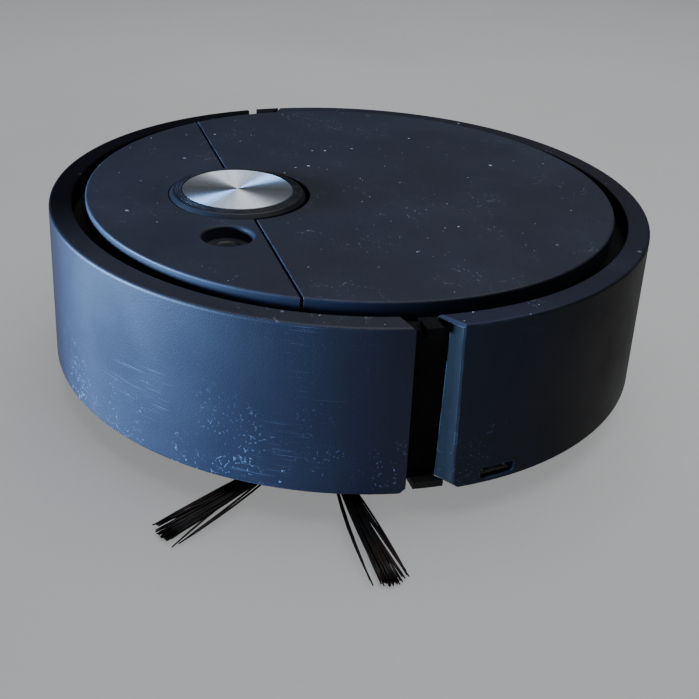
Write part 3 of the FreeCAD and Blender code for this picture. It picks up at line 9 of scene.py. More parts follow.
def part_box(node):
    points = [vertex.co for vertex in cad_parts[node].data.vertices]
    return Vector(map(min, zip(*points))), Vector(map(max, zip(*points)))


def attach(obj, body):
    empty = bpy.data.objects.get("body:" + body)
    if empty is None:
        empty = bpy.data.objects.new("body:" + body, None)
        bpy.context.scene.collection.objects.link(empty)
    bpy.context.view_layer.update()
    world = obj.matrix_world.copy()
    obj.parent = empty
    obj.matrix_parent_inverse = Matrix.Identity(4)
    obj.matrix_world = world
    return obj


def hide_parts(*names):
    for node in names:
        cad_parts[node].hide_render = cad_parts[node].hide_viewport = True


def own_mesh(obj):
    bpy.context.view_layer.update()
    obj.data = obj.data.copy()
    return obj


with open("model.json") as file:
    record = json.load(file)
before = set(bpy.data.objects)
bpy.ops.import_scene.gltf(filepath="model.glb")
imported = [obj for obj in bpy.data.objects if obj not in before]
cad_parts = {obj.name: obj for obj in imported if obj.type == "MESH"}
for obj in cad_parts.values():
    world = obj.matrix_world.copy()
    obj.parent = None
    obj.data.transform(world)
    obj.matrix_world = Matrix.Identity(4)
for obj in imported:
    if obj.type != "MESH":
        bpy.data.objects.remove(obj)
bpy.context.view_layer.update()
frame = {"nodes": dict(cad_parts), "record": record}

MM = 0.001
SIDES = ("left", "right")


# ---------------------------------------------------------------- node helper
class Shader:
    """A node material: each call adds one node, and inputs are values or other nodes' outputs."""

    def __init__(self, name):
        self.material = bpy.data.materials.new(name)
        self.material.use_nodes = True
        self.tree = self.material.node_tree
        self.tree.nodes.clear()
        self.output = self.tree.nodes.new("ShaderNodeOutputMaterial")
        self.coordinates = self.tree.nodes.new("ShaderNodeTexCoord")

    def put(self, socket, value):
        if isinstance(value, bpy.types.NodeSocket):
            self.tree.links.new(value, socket)
        elif value is not None:
            socket.default_value = value

    def node(self, kind, inputs=(), **settings):
        made = self.tree.nodes.new("ShaderNode" + kind)
        for key, value in settings.items():
            setattr(made, key, value)
        for name, value in dict(inputs).items():
            self.put(made.inputs[name], value)
        return made

    def place(self):
        return self.coordinates.outputs["Object"]

    def math(self, operation, a, b=0.5, clamp=False):
        made = self.tree.nodes.new("ShaderNodeMath")
        made.operation = operation
        made.use_clamp = clamp
        self.put(made.inputs[0], a)
        self.put(made.inputs[1], b)
        return made.outputs[0]

    def noise(self, scale, detail=2.0, roughness=0.5, vector=None):
        inputs = {"Scale": scale, "Detail": detail, "Roughness": roughness}
        inputs["Vector"] = self.place() if vector is None else vector
        return self.node("TexNoise", inputs).outputs["Fac"]

    def spread(self, value, low, high, to_low=0.0, to_high=1.0, smooth=False):
        inputs = {"Value": value, "From Min": low, "From Max": high}
        inputs.update({"To Min": to_low, "To Max": to_high})
        kind = "SMOOTHSTEP" if smooth else "LINEAR"
        return self.node("MapRange", inputs, interpolation_type=kind, clamp=True).outputs["Result"]

    def mix(self, share, a, b):
        made = self.tree.nodes.new("ShaderNodeMix")
        made.data_type = "RGBA"
        self.put(made.inputs["Factor"], share)
        self.put(made.inputs["A"], a)
        self.put(made.inputs["B"], b)
        return made.outputs["Result"]

    def stretched(self, scale):
        """Object coordinates multiplied by a different number along each axis."""
        inputs = {"Vector": self.place(), "Scale": scale}
        return self.node("Mapping", inputs).outputs["Vector"]

    def warped(self, scale, strength):
        """Object coordinates shifted about by noise, for irregular outlines."""
        inputs = {"Vector": self.place(), "Scale": scale, "Detail": 2.0}
        colour = self.node("TexNoise", inputs).outputs["Color"]
        shift = self.tree.nodes.new("ShaderNodeVectorMath")
        shift.operation = "MULTIPLY_ADD"
        self.put(shift.inputs[0], colour)
        shift.inputs[1].default_value = (strength, strength, strength)
        self.put(shift.inputs[2], self.place())
        return shift.outputs["Vector"]

    def bump(self, height, strength, distance, under=None):
        inputs = {"Height": height, "Strength": strength, "Distance": distance}
        if under is not None:
            inputs["Normal"] = under
        return self.node("Bump", inputs).outputs["Normal"]

    def finish(self, **inputs):
        principled = self.tree.nodes.new("ShaderNodeBsdfPrincipled")
        for name, value in inputs.items():
            self.put(principled.inputs[name.replace("_", " ")], value)
        self.tree.links.new(principled.outputs["BSDF"], self.output.inputs["Surface"])
        return self.material


def grey(value):
    return (value, value, value, 1.0)


def scaled(colour, factor):
    """The same colour, brighter or darker by a factor."""
    return tuple(c * factor for c in colour[:3]) + (1.0,)


# ---------------------------------------------------------------- materials
WORN_EDGE = (0.13, 0.16, 0.22, 1.0)
DUST_FILM = (0.24, 0.27, 0.33, 1.0)
DUST_SPECK = (0.33, 0.37, 0.42, 1.0)
SCUFF = (0.20, 0.25, 0.33, 1.0)
# Painted shade colour for the bumper's front.
FRONT_PAINTED_SHADE = (0.0022, 0.0020, 0.0030, 1.0)
SLOT_PAINTED_SHADE = (0.0008, 0.0008, 0.0010, 1.0)
# Painted shade inside the charging slot, as radius, Z and Y; each pair runs from untouched to
# black.
SLOT_SKIN = (0.1213, 0.1209)
SLOT_TOP = (0.030, 0.026)
SLOT_FRONT = (-0.009, -0.011)
# Painted shade: the bumper's front gets darker and reflects less between these two X values.
FRONT_SHADE_FROM, FRONT_SHADE_TO = -0.050, 0.015


def speck_mask(s, cell, size, share, warp=0.0005):
    """Small irregular specks, one in some of the cells: cell and size in metres."""
    spots = s.node("TexVoronoi", {"Vector": s.warped(1500.0, warp), "Scale": 1.0 / cell})
    chosen = s.node("SeparateColor", {"Color": spots.outputs["Color"]})
    reach = s.math("MULTIPLY", chosen.outputs["Green"], size / cell)
    near = s.math("LESS_THAN", spots.outputs["Distance"], reach)
    picked = s.math("LESS_THAN", chosen.outputs["Red"], share)
    return s.math("MULTIPLY", near, picked)


def curl_mask(s, cell, width, lower, upper):
    """Short thin curls and hairs, only where slow noise is high."""
    lines = s.node("TexVoronoi", {"Vector": s.warped(220.0, 0.004), "Scale": 1.0 / cell},
                   feature="DISTANCE_TO_EDGE")
    thin = s.spread(lines.outputs["Distance"], width / cell, 0.0)
    patch = s.spread(s.noise(48.0, 3.0), lower, upper)
    broken = s.spread(s.noise(900.0, 1.0), 0.55, 0.62)
    return s.math("MULTIPLY", thin, s.math("MULTIPLY", patch, broken))


def upward(s, low=0.55, high=0.9):
    """1 on faces that look up in the part's own frame, 0 on walls."""
    normal = s.node("SeparateXYZ", {"Vector": s.coordinates.outputs["Normal"]})
    return s.spread(normal.outputs["Z"], low, high)


def edge_mask(s, radius):
    """Where the surface turns sharply within the radius."""
    rounded = s.node("Bevel", {"Radius": radius}, samples=4).outputs["Normal"]
    flat = s.node("NewGeometry").outputs["Normal"]
    dot = s.tree.nodes.new("ShaderNodeVectorMath")
    dot.operation = "DOT_PRODUCT"
    s.put(dot.inputs[0], rounded)
    s.put(dot.inputs[1], flat)
    return rounded, s.spread(dot.outputs["Value"], 0.995, 0.9)


def scratch_mask(s):
    """A few long thin scratches along the wall, in patches."""
    lines = s.spread(s.noise(1.0, 1.0, 0.5, s.stretched((45.0, 45.0, 3400.0))), 0.66, 0.70)
    patch = s.spread(s.noise(26.0, 2.0), 0.56, 0.62)
    return s.math("MULTIPLY", lines, patch)


def outer_plastic(name, base, dust=0.5, scuffs=0.0, roughness=0.46, grain=0.22, ior=1.4,
                  top_painted_shading=None, front_painted_shade=0.0, slot_painted_shade=False):
    """Fine-grained dark moulding: worn edges, dust on top, scuffs low on its walls; optionally a
    top colour of its own for painted light and shade, painted shade on the bumper's front and
    painted shade inside the charging slot.
    """
    s = Shader(name)
    cloud = s.noise(11.0, 4.0)
    colour = s.mix(s.spread(cloud, 0.35, 0.65), scaled(base, 0.88), scaled(base, 1.12))
    rounded, edge = edge_mask(s, 0.0005)
    wear = s.math("MULTIPLY", edge, s.spread(s.noise(160.0, 3.0), 0.42, 0.62))
    colour = s.mix(s.math("MULTIPLY", wear, 0.22), colour, WORN_EDGE)
    top = upward(s)
    # Painted light and shade: up-facing faces take their own colour, set apart from the walls by
    # how light falls on them.
    if top_painted_shading:
        colour = s.mix(top, colour, top_painted_shading)
    specks = s.math("MAXIMUM", speck_mask(s, 0.0062, 0.00080, 0.40),
                    speck_mask(s, 0.0026, 0.00034, 0.22))
    patchy = s.spread(s.noise(30.0, 2.0), 0.36, 0.56)
    specks = s.math("MULTIPLY", s.math("MULTIPLY", specks, patchy), s.math("MULTIPLY", top, dust))
    hairs = curl_mask(s, 0.0085, 0.00016, 0.53, 0.63)
    hairs = s.math("MULTIPLY", hairs, s.math("MULTIPLY", top, dust * 0.4))
    film = s.spread(s.noise(24.0, 5.0, 0.65), 0.42, 0.75)
    film = s.math("MULTIPLY", film, s.math("MULTIPLY", top, dust * 0.03))
    colour = s.mix(film, colour, DUST_FILM)
    colour = s.mix(s.math("MAXIMUM", specks, hairs), colour, DUST_SPECK)
    rough = s.spread(s.noise(34.0, 4.0), 0.3, 0.7, roughness - 0.05, roughness + 0.07)
    rough = s.math("ADD", rough, s.math("MULTIPLY", specks, 0.4), clamp=True)
    if scuffs:
        wall = s.math("SUBTRACT", 1.0, top)
        height = s.node("SeparateXYZ", {"Vector": s.place()}).outputs["Z"]
        low_down = s.spread(height, 0.050, 0.018, 0.05, 1.0)
        curls = curl_mask(s, 0.0036, 0.00022, 0.48, 0.58)
        flecks = speck_mask(s, 0.0030, 0.00046, 0.35, 0.0010)
        flecks = s.math("MULTIPLY", flecks, s.spread(s.noise(38.0, 3.0), 0.46, 0.62))
        marks = s.math("MULTIPLY", s.math("MAXIMUM", curls, flecks), low_down)
        marks = s.math("MAXIMUM", marks, s.math("MULTIPLY", scratch_mask(s), 0.35))
        marks = s.math("MULTIPLY", s.math("MULTIPLY", marks, wall), scuffs)
        colour = s.mix(marks, colour, SCUFF)
    # Painted shade on the bumper's front: darker colour, lower IOR and less roughness.
    if front_painted_shade:
        across = s.node("SeparateXYZ", {"Vector": s.place()}).outputs["X"]
        front_shade = s.math("MULTIPLY", s.spread(across, FRONT_SHADE_FROM, FRONT_SHADE_TO, smooth=True), front_painted_shade)
        colour = s.mix(front_shade, colour, FRONT_PAINTED_SHADE)
        ior = s.math("SUBTRACT", ior, s.math("MULTIPLY", front_shade, ior - 1.04))
        rough = s.math("SUBTRACT", rough, s.math("MULTIPLY", front_shade, 0.16))
    # Painted shade: the inside of the charging slot goes near black and reflects almost nothing.
    if slot_painted_shade:
        place = s.node("SeparateXYZ", {"Vector": s.place()}).outputs
        squares = s.math("ADD", s.math("POWER", place["X"], 2.0), s.math("POWER", place["Y"], 2.0))
        slot_shade = s.spread(s.math("SQRT", squares), *SLOT_SKIN)
        low_rear = s.math("MULTIPLY", s.spread(place["Z"], *SLOT_TOP),
                          s.spread(place["Y"], *SLOT_FRONT))
        slot_shade = s.math("MULTIPLY", slot_shade, low_rear)
        colour = s.mix(slot_shade, colour, SLOT_PAINTED_SHADE)
        ior = s.math("SUBTRACT", ior, s.math("MULTIPLY", slot_shade, ior - 1.03))
    normal = s.bump(s.noise(1700.0, 3.0, 0.65), grain, 0.00012, rounded)
    return s.finish(Base_Color=colour, Roughness=rough, Normal=normal, IOR=ior)


def inner_plastic(name, base, roughness=0.6, dust=0.05, rub=0.25, ior=1.35):
    """Plainer moulding inside and underneath: faint flow marks, grain, rubbed edges."""
    s = Shader(name)
    cloud = s.noise(40.0, 4.0)
    colour = s.mix(s.spread(cloud, 0.35, 0.65), scaled(base, 0.75), scaled(base, 1.3))
    rounded, edge = edge_mask(s, 0.0004)
    rubbed = tuple(min(1, c * 3 + 0.04) for c in base[:3]) + (1.0,)
    colour = s.mix(s.math("MULTIPLY", edge, rub), colour, rubbed)
    film = s.math("MULTIPLY", s.spread(s.noise(90.0, 5.0, 0.7), 0.5, 0.8), dust)
    colour = s.mix(film, colour, (0.30, 0.29, 0.27, 1.0))
    rough = s.spread(s.noise(70.0, 3.0), 0.3, 0.7, roughness - 0.08, roughness + 0.08)
    normal = s.bump(s.noise(2200.0, 2.0), 0.25, 0.00012, rounded)
    return s.finish(Base_Color=colour, Roughness=rough, Normal=normal, IOR=ior)


def spun_metal(name, centre):
    """Face-turned metal: fine rings round the centre, with painted highlights as soft brighter and
    duller spokes.
    """
    s = Shader(name)
    shift = s.tree.nodes.new("ShaderNodeVectorMath")
    shift.operation = "SUBTRACT"
    s.put(shift.inputs[0], s.place())
    shift.inputs[1].default_value = centre
    flat = s.node("SeparateXYZ", {"Vector": shift.outputs["Vector"]})
    radius = s.math("SQRT", s.math("ADD", s.math("POWER", flat.outputs["X"], 2.0),
                                   s.math("POWER", flat.outputs["Y"], 2.0)))
    angle = s.math("ARCTAN2", flat.outputs["Y"], flat.outputs["X"])
    along = s.node("CombineXYZ", {"X": s.math("MULTIPLY", radius, 5200.0),
                                  "Y": s.math("MULTIPLY", angle, 0.8)})
    rings = s.noise(1.0, 3.0, 0.7, along.outputs["Vector"])
    # Painted highlight: colour brighter and darker by angle round the centre, standing in for the
    # disc's conic reflections.
    turn = s.node("CombineXYZ", {"X": s.math("COSINE", angle), "Y": s.math("SINE", angle),
                                 "Z": s.math("MULTIPLY", radius, 4.0)})
    highlight_spokes = s.noise(3.2, 5.0, 0.7, turn.outputs["Vector"])
    colour = s.mix(s.spread(highlight_spokes, 0.35, 0.65),
                   (0.44, 0.475, 0.52, 1.0), (0.66, 0.705, 0.75, 1.0))
    colour = s.mix(s.spread(rings, 0.3, 0.7, 0.0, 0.3), colour, (0.50, 0.51, 0.53, 1.0))
    grime = s.spread(s.noise(420.0, 4.0, 0.7), 0.52, 0.72, 0.0, 0.35)
    colour = s.mix(grime, colour, (0.33, 0.31, 0.29, 1.0))
    rough = s.spread(rings, 0.3, 0.7, 0.50, 0.68)
    normal = s.bump(rings, 0.12, 0.00005)
    tangent = s.node("Tangent", direction_type="RADIAL", axis="Z").outputs["Tangent"]
    return s.finish(Base_Color=colour, Metallic=1.0, Roughness=rough, Normal=normal,
                    Anisotropic=0.9, Anisotropic_Rotation=0.25, Tangent=tangent)


def brushed_metal(name, base, roughness=0.35):
    """Metal with fine streaks along X."""
    s = Shader(name)
    streak = s.noise(1.0, 4.0, 0.6, s.stretched((250.0, 2600.0, 2600.0)))
    colour = s.mix(s.spread(streak, 0.3, 0.7), scaled(base, 0.7), base)
    rough = s.spread(streak, 0.3, 0.7, roughness - 0.08, roughness + 0.1)
    normal = s.bump(streak, 0.15, 0.00005)
    return s.finish(Base_Color=colour, Metallic=1.0, Roughness=rough, Normal=normal)


def rubber(name, base, roughness=0.75):
    """Dull rubber with a dusty bloom."""
    s = Shader(name)
    bloom = s.spread(s.noise(120.0, 5.0, 0.65), 0.42, 0.75, 0.0, 0.4)
    colour = s.mix(bloom, base, (0.13, 0.125, 0.115, 1.0))
    rounded, edge = edge_mask(s, 0.0005)
    colour = s.mix(s.math("MULTIPLY", edge, 0.35), colour, (0.17, 0.165, 0.16, 1.0))
    rough = s.spread(s.noise(300.0, 3.0), 0.3, 0.7, roughness - 0.07, roughness + 0.1)
    normal = s.bump(s.noise(1400.0, 3.0), 0.4, 0.0002, rounded)
    return s.finish(Base_Color=colour, Roughness=rough, Normal=normal, IOR=1.5)


def gloss_plastic(name, base, roughness=0.18):
    """Smooth moulding with a little dust and a thin clear coat."""
    s = Shader(name)
    cloud = s.noise(50.0, 3.0)
    colour = s.mix(s.spread(cloud, 0.35, 0.65), scaled(base, 0.85), base)
    rounded, edge = edge_mask(s, 0.0004)
    dust = s.spread(s.noise(260.0, 5.0, 0.7), 0.55, 0.8, 0.0, 0.25)
    colour = s.mix(dust, colour, (0.35, 0.34, 0.32, 1.0))
    rough = s.spread(s.noise(90.0, 4.0), 0.3, 0.7, roughness, roughness + 0.14)
    normal = s.bump(s.noise(700.0, 2.0), 0.05, 0.0001, rounded)
    return s.finish(Base_Color=colour, Roughness=rough, Normal=normal, IOR=1.5, Coat_Weight=0.2)


def filter_paper(name):
    """Off-white fibre with grey dust held in it."""
    s = Shader(name)
    fibres = s.noise(1.0, 5.0, 0.7, s.stretched((900.0, 900.0, 2600.0)))
    dirt = s.spread(s.noise(70.0, 5.0, 0.7), 0.4, 0.75)
    colour = s.mix(s.spread(fibres, 0.3, 0.7), (0.66, 0.64, 0.58, 1.0), (0.84, 0.82, 0.77, 1.0))
    colour = s.mix(s.math("MULTIPLY", dirt, 0.55), colour, (0.30, 0.28, 0.26, 1.0))
    return s.finish(Base_Color=colour, Roughness=0.9, Normal=s.bump(fibres, 0.5, 0.0003))


def circuit_board(name):
    """Green solder mask over faint copper tracks, with tinned pads."""
    s = Shader(name)
    tracks = s.node("TexBrick", {"Vector": s.place(), "Scale": 260.0, "Mortar Size": 0.045,
                                 "Color1": (0.006, 0.10, 0.035, 1.0),
                                 "Color2": (0.008, 0.13, 0.045, 1.0),
                                 "Mortar": (0.03, 0.24, 0.10, 1.0)})
    pads = speck_mask(s, 0.0032, 0.0009, 0.5, 0.0)
    colour = s.mix(pads, tracks.outputs["Color"], (0.62, 0.60, 0.52, 1.0))
    rough = s.spread(s.noise(200.0), 0.3, 0.7, 0.25, 0.45)
    return s.finish(Base_Color=colour, Metallic=pads, Roughness=rough,
                    Normal=s.bump(tracks.outputs["Fac"], 0.2, 0.0001), Coat_Weight=0.3)


def nylon(name):
    """Dark bristle strands, browner here and there, with a long soft sheen."""
    s = Shader(name)
    shade = s.spread(s.noise(90.0, 2.0), 0.45, 0.62)
    colour = s.mix(shade, (0.0022, 0.0022, 0.0030, 1.0), (0.010, 0.005, 0.003, 1.0))
    rough = s.spread(s.noise(300.0), 0.3, 0.7, 0.32, 0.5)
    normal = s.bump(s.noise(2400.0), 0.2, 0.00008)
    return s.finish(Base_Color=colour, Roughness=rough, Normal=normal, IOR=1.3)


disc_low, disc_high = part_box("aluminium_disc")
disc_centre = (disc_low + disc_high) / 2

DECK_NAVY = (0.0098, 0.0112, 0.0205, 1.0)
BUMPER_NAVY = (0.0075, 0.0092, 0.0180, 1.0)
# Painted shade: the rear shell's walls take a much darker copy of the navy than its top and the
# bumper; REAR_TOP is its top.
REAR_WALL_PAINTED_SHADE = (0.0030, 0.0022, 0.0030, 1.0)
REAR_TOP = (0.0098, 0.0092, 0.0165, 1.0)
# Painted shade: the bumper's top faces take a darker, greyer copy of its navy than its walls.
BUMPER_TOP_PAINTED_SHADE = (0.0062, 0.0064, 0.0115, 1.0)
TRIM_BLACK = (0.0035, 0.0042, 0.0065, 1.0)
materials = {
    "deck": outer_plastic("deck_plastic", DECK_NAVY, dust=0.8, roughness=0.50, grain=0.35,
                          ior=1.32),
    "bumper": outer_plastic("bumper_plastic", BUMPER_NAVY, dust=0.6, scuffs=0.50, roughness=0.48,
                            grain=0.5, ior=1.34, top_painted_shading=BUMPER_TOP_PAINTED_SHADE, front_painted_shade=0.9),
    "rear": outer_plastic("rear_plastic", REAR_WALL_PAINTED_SHADE, dust=0.6, scuffs=0.07, roughness=0.52,
                          ior=1.22, top_painted_shading=REAR_TOP, slot_painted_shade=True),
    "trim": outer_plastic("trim_plastic", TRIM_BLACK, dust=0.10, roughness=0.42, grain=0.1,
                          ior=1.32),
    # Painted shade: frame_black is near black with weak reflections, for where the mid frame shows
    # in the body's gaps.
    "frame_black": inner_plastic("frame_black", grey(0.0016), 0.7, dust=0.006, rub=0.05, ior=1.18),
    "frame_plastic": inner_plastic("frame_plastic", grey(0.009)),
    "spun_aluminium": spun_metal("spun_aluminium", disc_centre),
    "steel": brushed_metal("steel", (0.56, 0.56, 0.57, 1.0)),
    "motor_can": brushed_metal("motor_can", (0.45, 0.45, 0.46, 1.0), 0.42),
    "tyre_rubber": rubber("tyre_rubber", grey(0.020)),
    "soft_rubber": rubber("soft_rubber", grey(0.016), 0.65),
    "roller_plastic": inner_plastic("roller_plastic", grey(0.07), 0.45),
    "bristle_nylon": nylon("bristle_nylon"),
    "bin_plastic": gloss_plastic("bin_plastic", (0.055, 0.060, 0.070, 1.0)),
    "impeller_plastic": gloss_plastic("impeller_plastic", (0.62, 0.62, 0.58, 1.0), 0.3),
    "filter_paper": filter_paper("filter_paper"),
    "battery_wrap": gloss_plastic("battery_wrap", (0.015, 0.06, 0.22, 1.0), 0.22),
    "circuit_board": circuit_board("circuit_board"),
    "component_black": inner_plastic("component_black", grey(0.022), 0.4),
    "sensor_lens": gloss_plastic("sensor_lens", (0.030, 0.006, 0.010, 1.0), 0.08),
}

FINISH_OF_NODE = {
    "rear_shell": "rear",
    "front_bumper": "bumper",
    "front_panel": "deck",
    # The mid frame takes the near-black frame_black finish: painted shade in the body's gaps.
    "mid_frame": "frame_black",
    "dust_lid": "deck",
    "disc_rim": "trim",
    "power_button": "trim",
}
slot_of_node = {row["node"]: row["material_slot"] for row in frame["record"]["subparts"]}
for node_name, node in frame["nodes"].items():
    finish = FINISH_OF_NODE.get(node_name, slot_of_node[node_name])
    node.data.materials.clear()
    node.data.materials.append(materials[finish])


# ---------------------------------------------------------------- side brushes
def tube_mesh(name, strands, sides=6):
    """One mesh of tapered tubes. Each strand is a list of (point, radius)."""
    vertices = []
    faces = []
    for strand in strands:
        start = len(vertices)
        count = len(strand)
        for index, (point, radius) in enumerate(strand):
            ahead = strand[min(index + 1, count - 1)][0]
            behind = strand[max(index - 1, 0)][0]
            along = (ahead - behind).normalized()
            across = along.cross(Vector((0, 0, 1))).normalized()
            lift = across.cross(along)
            for corner in range(sides):
                turn = 2 * math.pi * corner / sides
                vertices.append(point + (across * math.cos(turn) + lift * math.sin(turn)) * radius)
        for index in range(count - 1):
            for corner in range(sides):
                following = (corner + 1) % sides
                low = start + index * sides
                high = low + sides
                faces.append((low + corner, low + following, high + following, high + corner))
        faces.append(tuple(start + corner for corner in reversed(range(sides))))
        faces.append(tuple(start + (count - 1) * sides + corner for corner in range(sides)))
    mesh = bpy.data.meshes.new(name)
    mesh.from_pydata(vertices, [], faces)
    mesh.update()
    for polygon in mesh.polygons:
        polygon.use_smooth = len(polygon.vertices) == 4
    made = bpy.data.objects.new(name, mesh)
    bpy.context.scene.collection.objects.link(made)
    return made


TUFT_COUNT = 5
TUFT_START = math.radians(-4.6)
STRANDS_PER_TUFT = 72
STRAND_RADIUS = 0.40 * MM
ROOT_SPREAD = 1.5 * MM
TIP_FAN = 5.0 * MM
STRAND_STEPS = 7
STRAY_SHARE = 0.06
TIP_HEIGHT = 1.3 * MM
ROOT_LIFT = 0.9 * MM
ROOT_SINK = 1.0 * MM
TUFT_LEAN = 1.4 * MM
TUFT_HALF_HEIGHT = 0.75 * MM
SHORTEST_BY = 3.5 * MM
BOW = 0.8 * MM
STRAY_BOW = 2.2 * MM
FLOOR_CLEARANCE = 0.15 * MM
BOOT_LIFT = 0.2 * MM
BOOT_SIDES = 16
BOOT_LOWER = 1.2 * MM
BOOT_SLOPE = 0.9
# Distance out from the hub's rim and sleeve radius, in millimetres.
BOOT_PROFILE = ((-2.0, 1.9), (0.5, 2.1), (1.6, 2.0), (4.0, 1.75), (7.5, 1.6), (8.2, 1.35))


def tuft_directions(side):
    """Outward and sideways directions of each tuft; the left brush mirrors the right one."""
    flip = 1 if side == "right" else -1
    for tuft in range(TUFT_COUNT):
        angle = TUFT_START + 2 * math.pi * tuft / TUFT_COUNT
        outward = Vector((flip * math.cos(angle), math.sin(angle), 0))
        yield outward, Vector((-outward.y, outward.x, 0))


def bristle_strands(side, centre, reach, root_z, tip_z, start, draw):
    """Every strand of one brush: straight nylon that fans out flat towards its cut tip."""
    strands = []
    for outward, sideways in tuft_directions(side):
        lean = draw.uniform(-1.0, 1.0) * TUFT_LEAN
        for _ in range(STRANDS_PER_TUFT):
            across = draw.gauss(0, 0.42)
            across = max(-1.0, min(1.0, across))
            up = draw.uniform(-1.0, 1.0)
            stray = draw.random() < STRAY_SHARE
            fan = TIP_FAN * (draw.choice((-1.25, 1.3)) if stray else across)
            length = reach - draw.uniform(0.0, SHORTEST_BY) * (1.6 if stray else 1.0)
            bow = draw.uniform(-BOW, BOW) + (draw.uniform(-STRAY_BOW, STRAY_BOW) if stray else 0)
            droop = draw.uniform(0.2, 1.1) * MM
            strand = []
            for step in range(STRAND_STEPS + 1):
                t = step / STRAND_STEPS
                out = start + (length - start) * t
                sway = ROOT_SPREAD * across * (1 - t) + (fan + lean) * t ** 1.25
                sway += bow * math.sin(math.pi * t)
                height = root_z + (tip_z - root_z) * t + up * TUFT_HALF_HEIGHT * (1 - 0.35 * t)
                height -= droop * math.sin(math.pi * t)
                point = centre + outward * out + sideways * sway
                point.z = max(height, STRAND_RADIUS + FLOOR_CLEARANCE)
                strand.append((point, STRAND_RADIUS * (1.0 if step < STRAND_STEPS else 0.6)))
            strands.append(strand)
    return strands


def brush_boots(side, centre, hub_radius, root_z, reach):
    """A short tapered sleeve round the root of each tuft."""
    sleeves = []
    for outward, _ in tuft_directions(side):
        sleeve = []
        for out, radius in BOOT_PROFILE:
            point = centre + outward * (hub_radius + out * MM)
            drop = (hub_radius + out * MM) * (root_z - BOOT_LOWER) / reach * BOOT_SLOPE
            point.z = root_z - drop + hub_radius * (root_z - BOOT_LOWER) / reach * BOOT_SLOPE
            sleeve.append((point, radius * MM))
        sleeves.append(sleeve)
    return sleeves


brush_pieces = []
for side in SIDES:
    hub_low, hub_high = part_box("brush_hub_" + side)
    tuft_low, tuft_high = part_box("brush_bristles_" + side)
    hub_centre = Vector(((hub_low.x + hub_high.x) / 2, (hub_low.y + hub_high.y) / 2, 0))
    hub_radius = (hub_high.x - hub_low.x) / 2
    reach = max(tuft_high.x - hub_centre.x, hub_centre.x - tuft_low.x) / math.cos(TUFT_START)
    root_z = hub_low.z + ROOT_LIFT
    seeded = random.Random(7 if side == "left" else 19)
    strands = bristle_strands(side, hub_centre, reach, root_z, TIP_HEIGHT,
                              hub_radius - ROOT_SINK, seeded)
    bristles = tube_mesh("bristle_strands_" + side, strands)
    bristles.data.materials.append(materials["bristle_nylon"])
    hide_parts("brush_bristles_" + side)
    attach(bristles, "brush_" + side)
    sleeves = brush_boots(side, hub_centre, hub_radius, root_z + BOOT_LIFT, reach)
    boots = tube_mesh("brush_boots_" + side, sleeves, BOOT_SIDES)
    boots.data.materials.append(materials["soft_rubber"])
    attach(boots, "brush_" + side)
    brush_pieces += [bristles, boots]


# ---------------------------------------------------------------- bumper springs
SPRING_WIRE = 0.4 * MM
SPRING_PITCH = 1.8 * MM
POINTS_PER_TURN = 24
SPRING_SIDES = 10


def coil(x, z, radius, start, end):
    """One coil spring along Y, as (point, wire radius)."""
    turns = (end - start) / SPRING_PITCH
    steps = round(turns * POINTS_PER_TURN)
    wire = []
    for step in range(steps + 1):
        t = step / steps
        angle = 2 * math.pi * turns * t
        point = Vector((x + radius * math.cos(angle), start + (end - start) * t,
                        z + radius * math.sin(angle)))
        wire.append((point, SPRING_WIRE))
    return wire


spring_low, spring_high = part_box("bumper_springs")
coil_radius = (spring_high.z - spring_low.z) / 2 - SPRING_WIRE
coil_x = spring_high.x - SPRING_WIRE - coil_radius
coil_z = (spring_high.z + spring_low.z) / 2
coils = [coil(x, coil_z, coil_radius, spring_low.y + SPRING_WIRE, spring_high.y - SPRING_WIRE)
         for x in (-coil_x, coil_x)]
springs = tube_mesh("coil_springs", coils, SPRING_SIDES)
springs.data.materials.append(materials[slot_of_node["bumper_springs"]])
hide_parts("bumper_springs")
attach(springs, "chassis")
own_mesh(springs)


# ---------------------------------------------------------------- floor, lights, camera
def floor_material():
    s = Shader("studio_floor")
    cloud = s.noise(3.0, 3.0)
    colour = s.mix(s.spread(cloud, 0.3, 0.7), (0.52, 0.515, 0.51, 1.0), (0.57, 0.565, 0.56, 1.0))
    return s.finish(Base_Color=colour, Roughness=0.85, Normal=s.bump(s.noise(400.0), 0.05, 0.0005))


FLOOR_HALF = 6.0
floor_mesh = bpy.data.meshes.new("floor")
corners = [(-FLOOR_HALF, -FLOOR_HALF, 0), (FLOOR_HALF, -FLOOR_HALF, 0),
           (FLOOR_HALF, FLOOR_HALF, 0), (-FLOOR_HALF, FLOOR_HALF, 0)]
floor_mesh.from_pydata(corners, [], [(0, 1, 2, 3)])
floor = bpy.data.objects.new("floor", floor_mesh)
floor.data.materials.append(floor_material())
bpy.context.scene.collection.objects.link(floor)


def softbox(name, place, target, size, power, colour):
    """Rectangular area light at a place, turned to face the target."""
    lamp = bpy.data.lights.new(name, "AREA")
    lamp.shape = "RECTANGLE"
    lamp.size = size[0]
    lamp.size_y = size[1]
    lamp.energy = power
    lamp.color = colour
    made = bpy.data.objects.new(name, lamp)
    made.location = place
    made.rotation_mode = "QUATERNION"
    made.rotation_quaternion = (Vector(target) - Vector(place)).to_track_quat("-Z", "Y")
    bpy.context.scene.collection.objects.link(made)
    return made


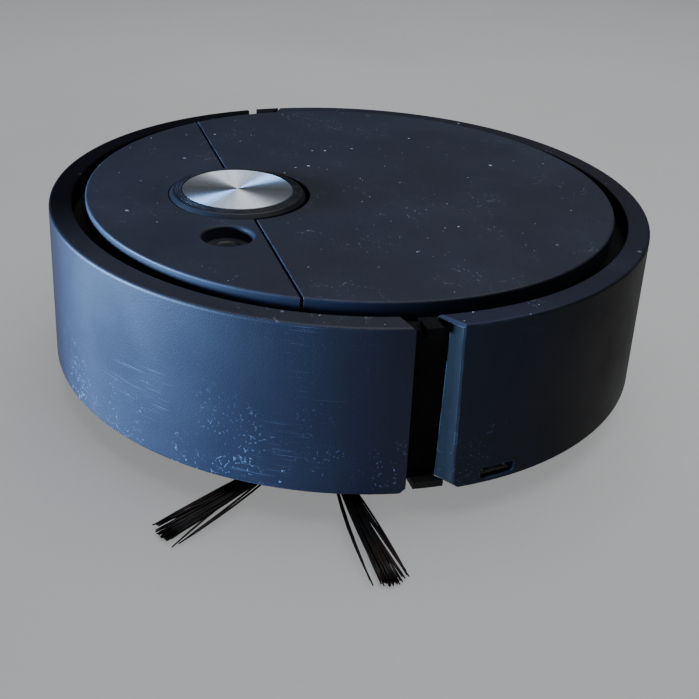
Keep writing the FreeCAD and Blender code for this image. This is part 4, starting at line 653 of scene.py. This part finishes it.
BODY_CENTRE = (0.0, 0.0, 0.04)
window_light = softbox("window_light", (0.16, 1.28, 0.13), BODY_CENTRE, (0.9, 0.22), 200.0,
                       (0.33, 0.57, 1.0))
side_light = softbox("side_light", (-0.62, 1.05, 0.16), BODY_CENTRE, (0.4, 0.22), 110.0,
                     (0.28, 0.58, 1.0))
OVERHEAD = (0.10, -0.25, 1.6)
OVERHEAD_SIZE = (1.5, 1.5)
OVERHEAD_COLOUR = (0.96, 0.98, 1.0)
overhead, floor_fill, floor_wash = (
    softbox(name, OVERHEAD, BODY_CENTRE, OVERHEAD_SIZE, power, OVERHEAD_COLOUR)
    for name, power in (("overhead", 28.5), ("floor_fill", 19.0), ("floor_wash", 7.5)))

# Of the two cool lights, one falls on the CAD nodes and one on the rear shell alone: the floor
# and the brush pieces stay free of them. The overhead light falls on the nodes and the brushes.
# The coil springs, hidden inside the body, get the world's light only.
body_only = bpy.data.collections.new("body_only")
robot_only = bpy.data.collections.new("robot_only")
for node in frame["nodes"].values():
    body_only.objects.link(node)
for node in list(frame["nodes"].values()) + brush_pieces:
    robot_only.objects.link(node)
window_light.light_linking.receiver_collection = body_only
rear_only = bpy.data.collections.new("rear_only")
rear_only.objects.link(frame["nodes"]["rear_shell"])
side_light.light_linking.receiver_collection = rear_only

# The floor gets its own copies of the overhead light: most of it casts no shadow of the robot.
floor_only = bpy.data.collections.new("floor_only")
floor_only.objects.link(floor)
overhead.light_linking.receiver_collection = robot_only
floor_fill.light_linking.receiver_collection = floor_only
floor_fill.light_linking.blocker_collection = floor_only
floor_wash.light_linking.receiver_collection = floor_only

world = bpy.data.worlds.new("studio")
world.use_nodes = True
world.node_tree.nodes["Background"].inputs["Color"].default_value = (0.86, 0.92, 1.0, 1.0)
world.node_tree.nodes["Background"].inputs["Strength"].default_value = 0.10
bpy.context.scene.world = world

# The camera was fitted to the rims, seams and gap edges seen in the photograph.
CAMERA_PLACE = Vector((-0.37820, 0.12800, 0.22380))
CAMERA_RIGHT = Vector((-0.300245, -0.952515, 0.050717))
CAMERA_UP = Vector((0.479533, -0.104764, 0.871248))
CAMERA_AHEAD = Vector((0.824565, -0.285908, -0.488215))
camera_data = bpy.data.cameras.new("camera")
camera_data.lens = 52.78
camera_data.sensor_width = 36.0
camera_data.clip_start = 0.01
camera_data.clip_end = 50.0
camera = bpy.data.objects.new("camera", camera_data)
axes = Matrix((CAMERA_RIGHT, CAMERA_UP, -CAMERA_AHEAD)).transposed()
camera.matrix_world = Matrix.Translation(CAMERA_PLACE) @ axes.to_4x4()
bpy.context.scene.collection.objects.link(camera)
bpy.context.scene.camera = camera
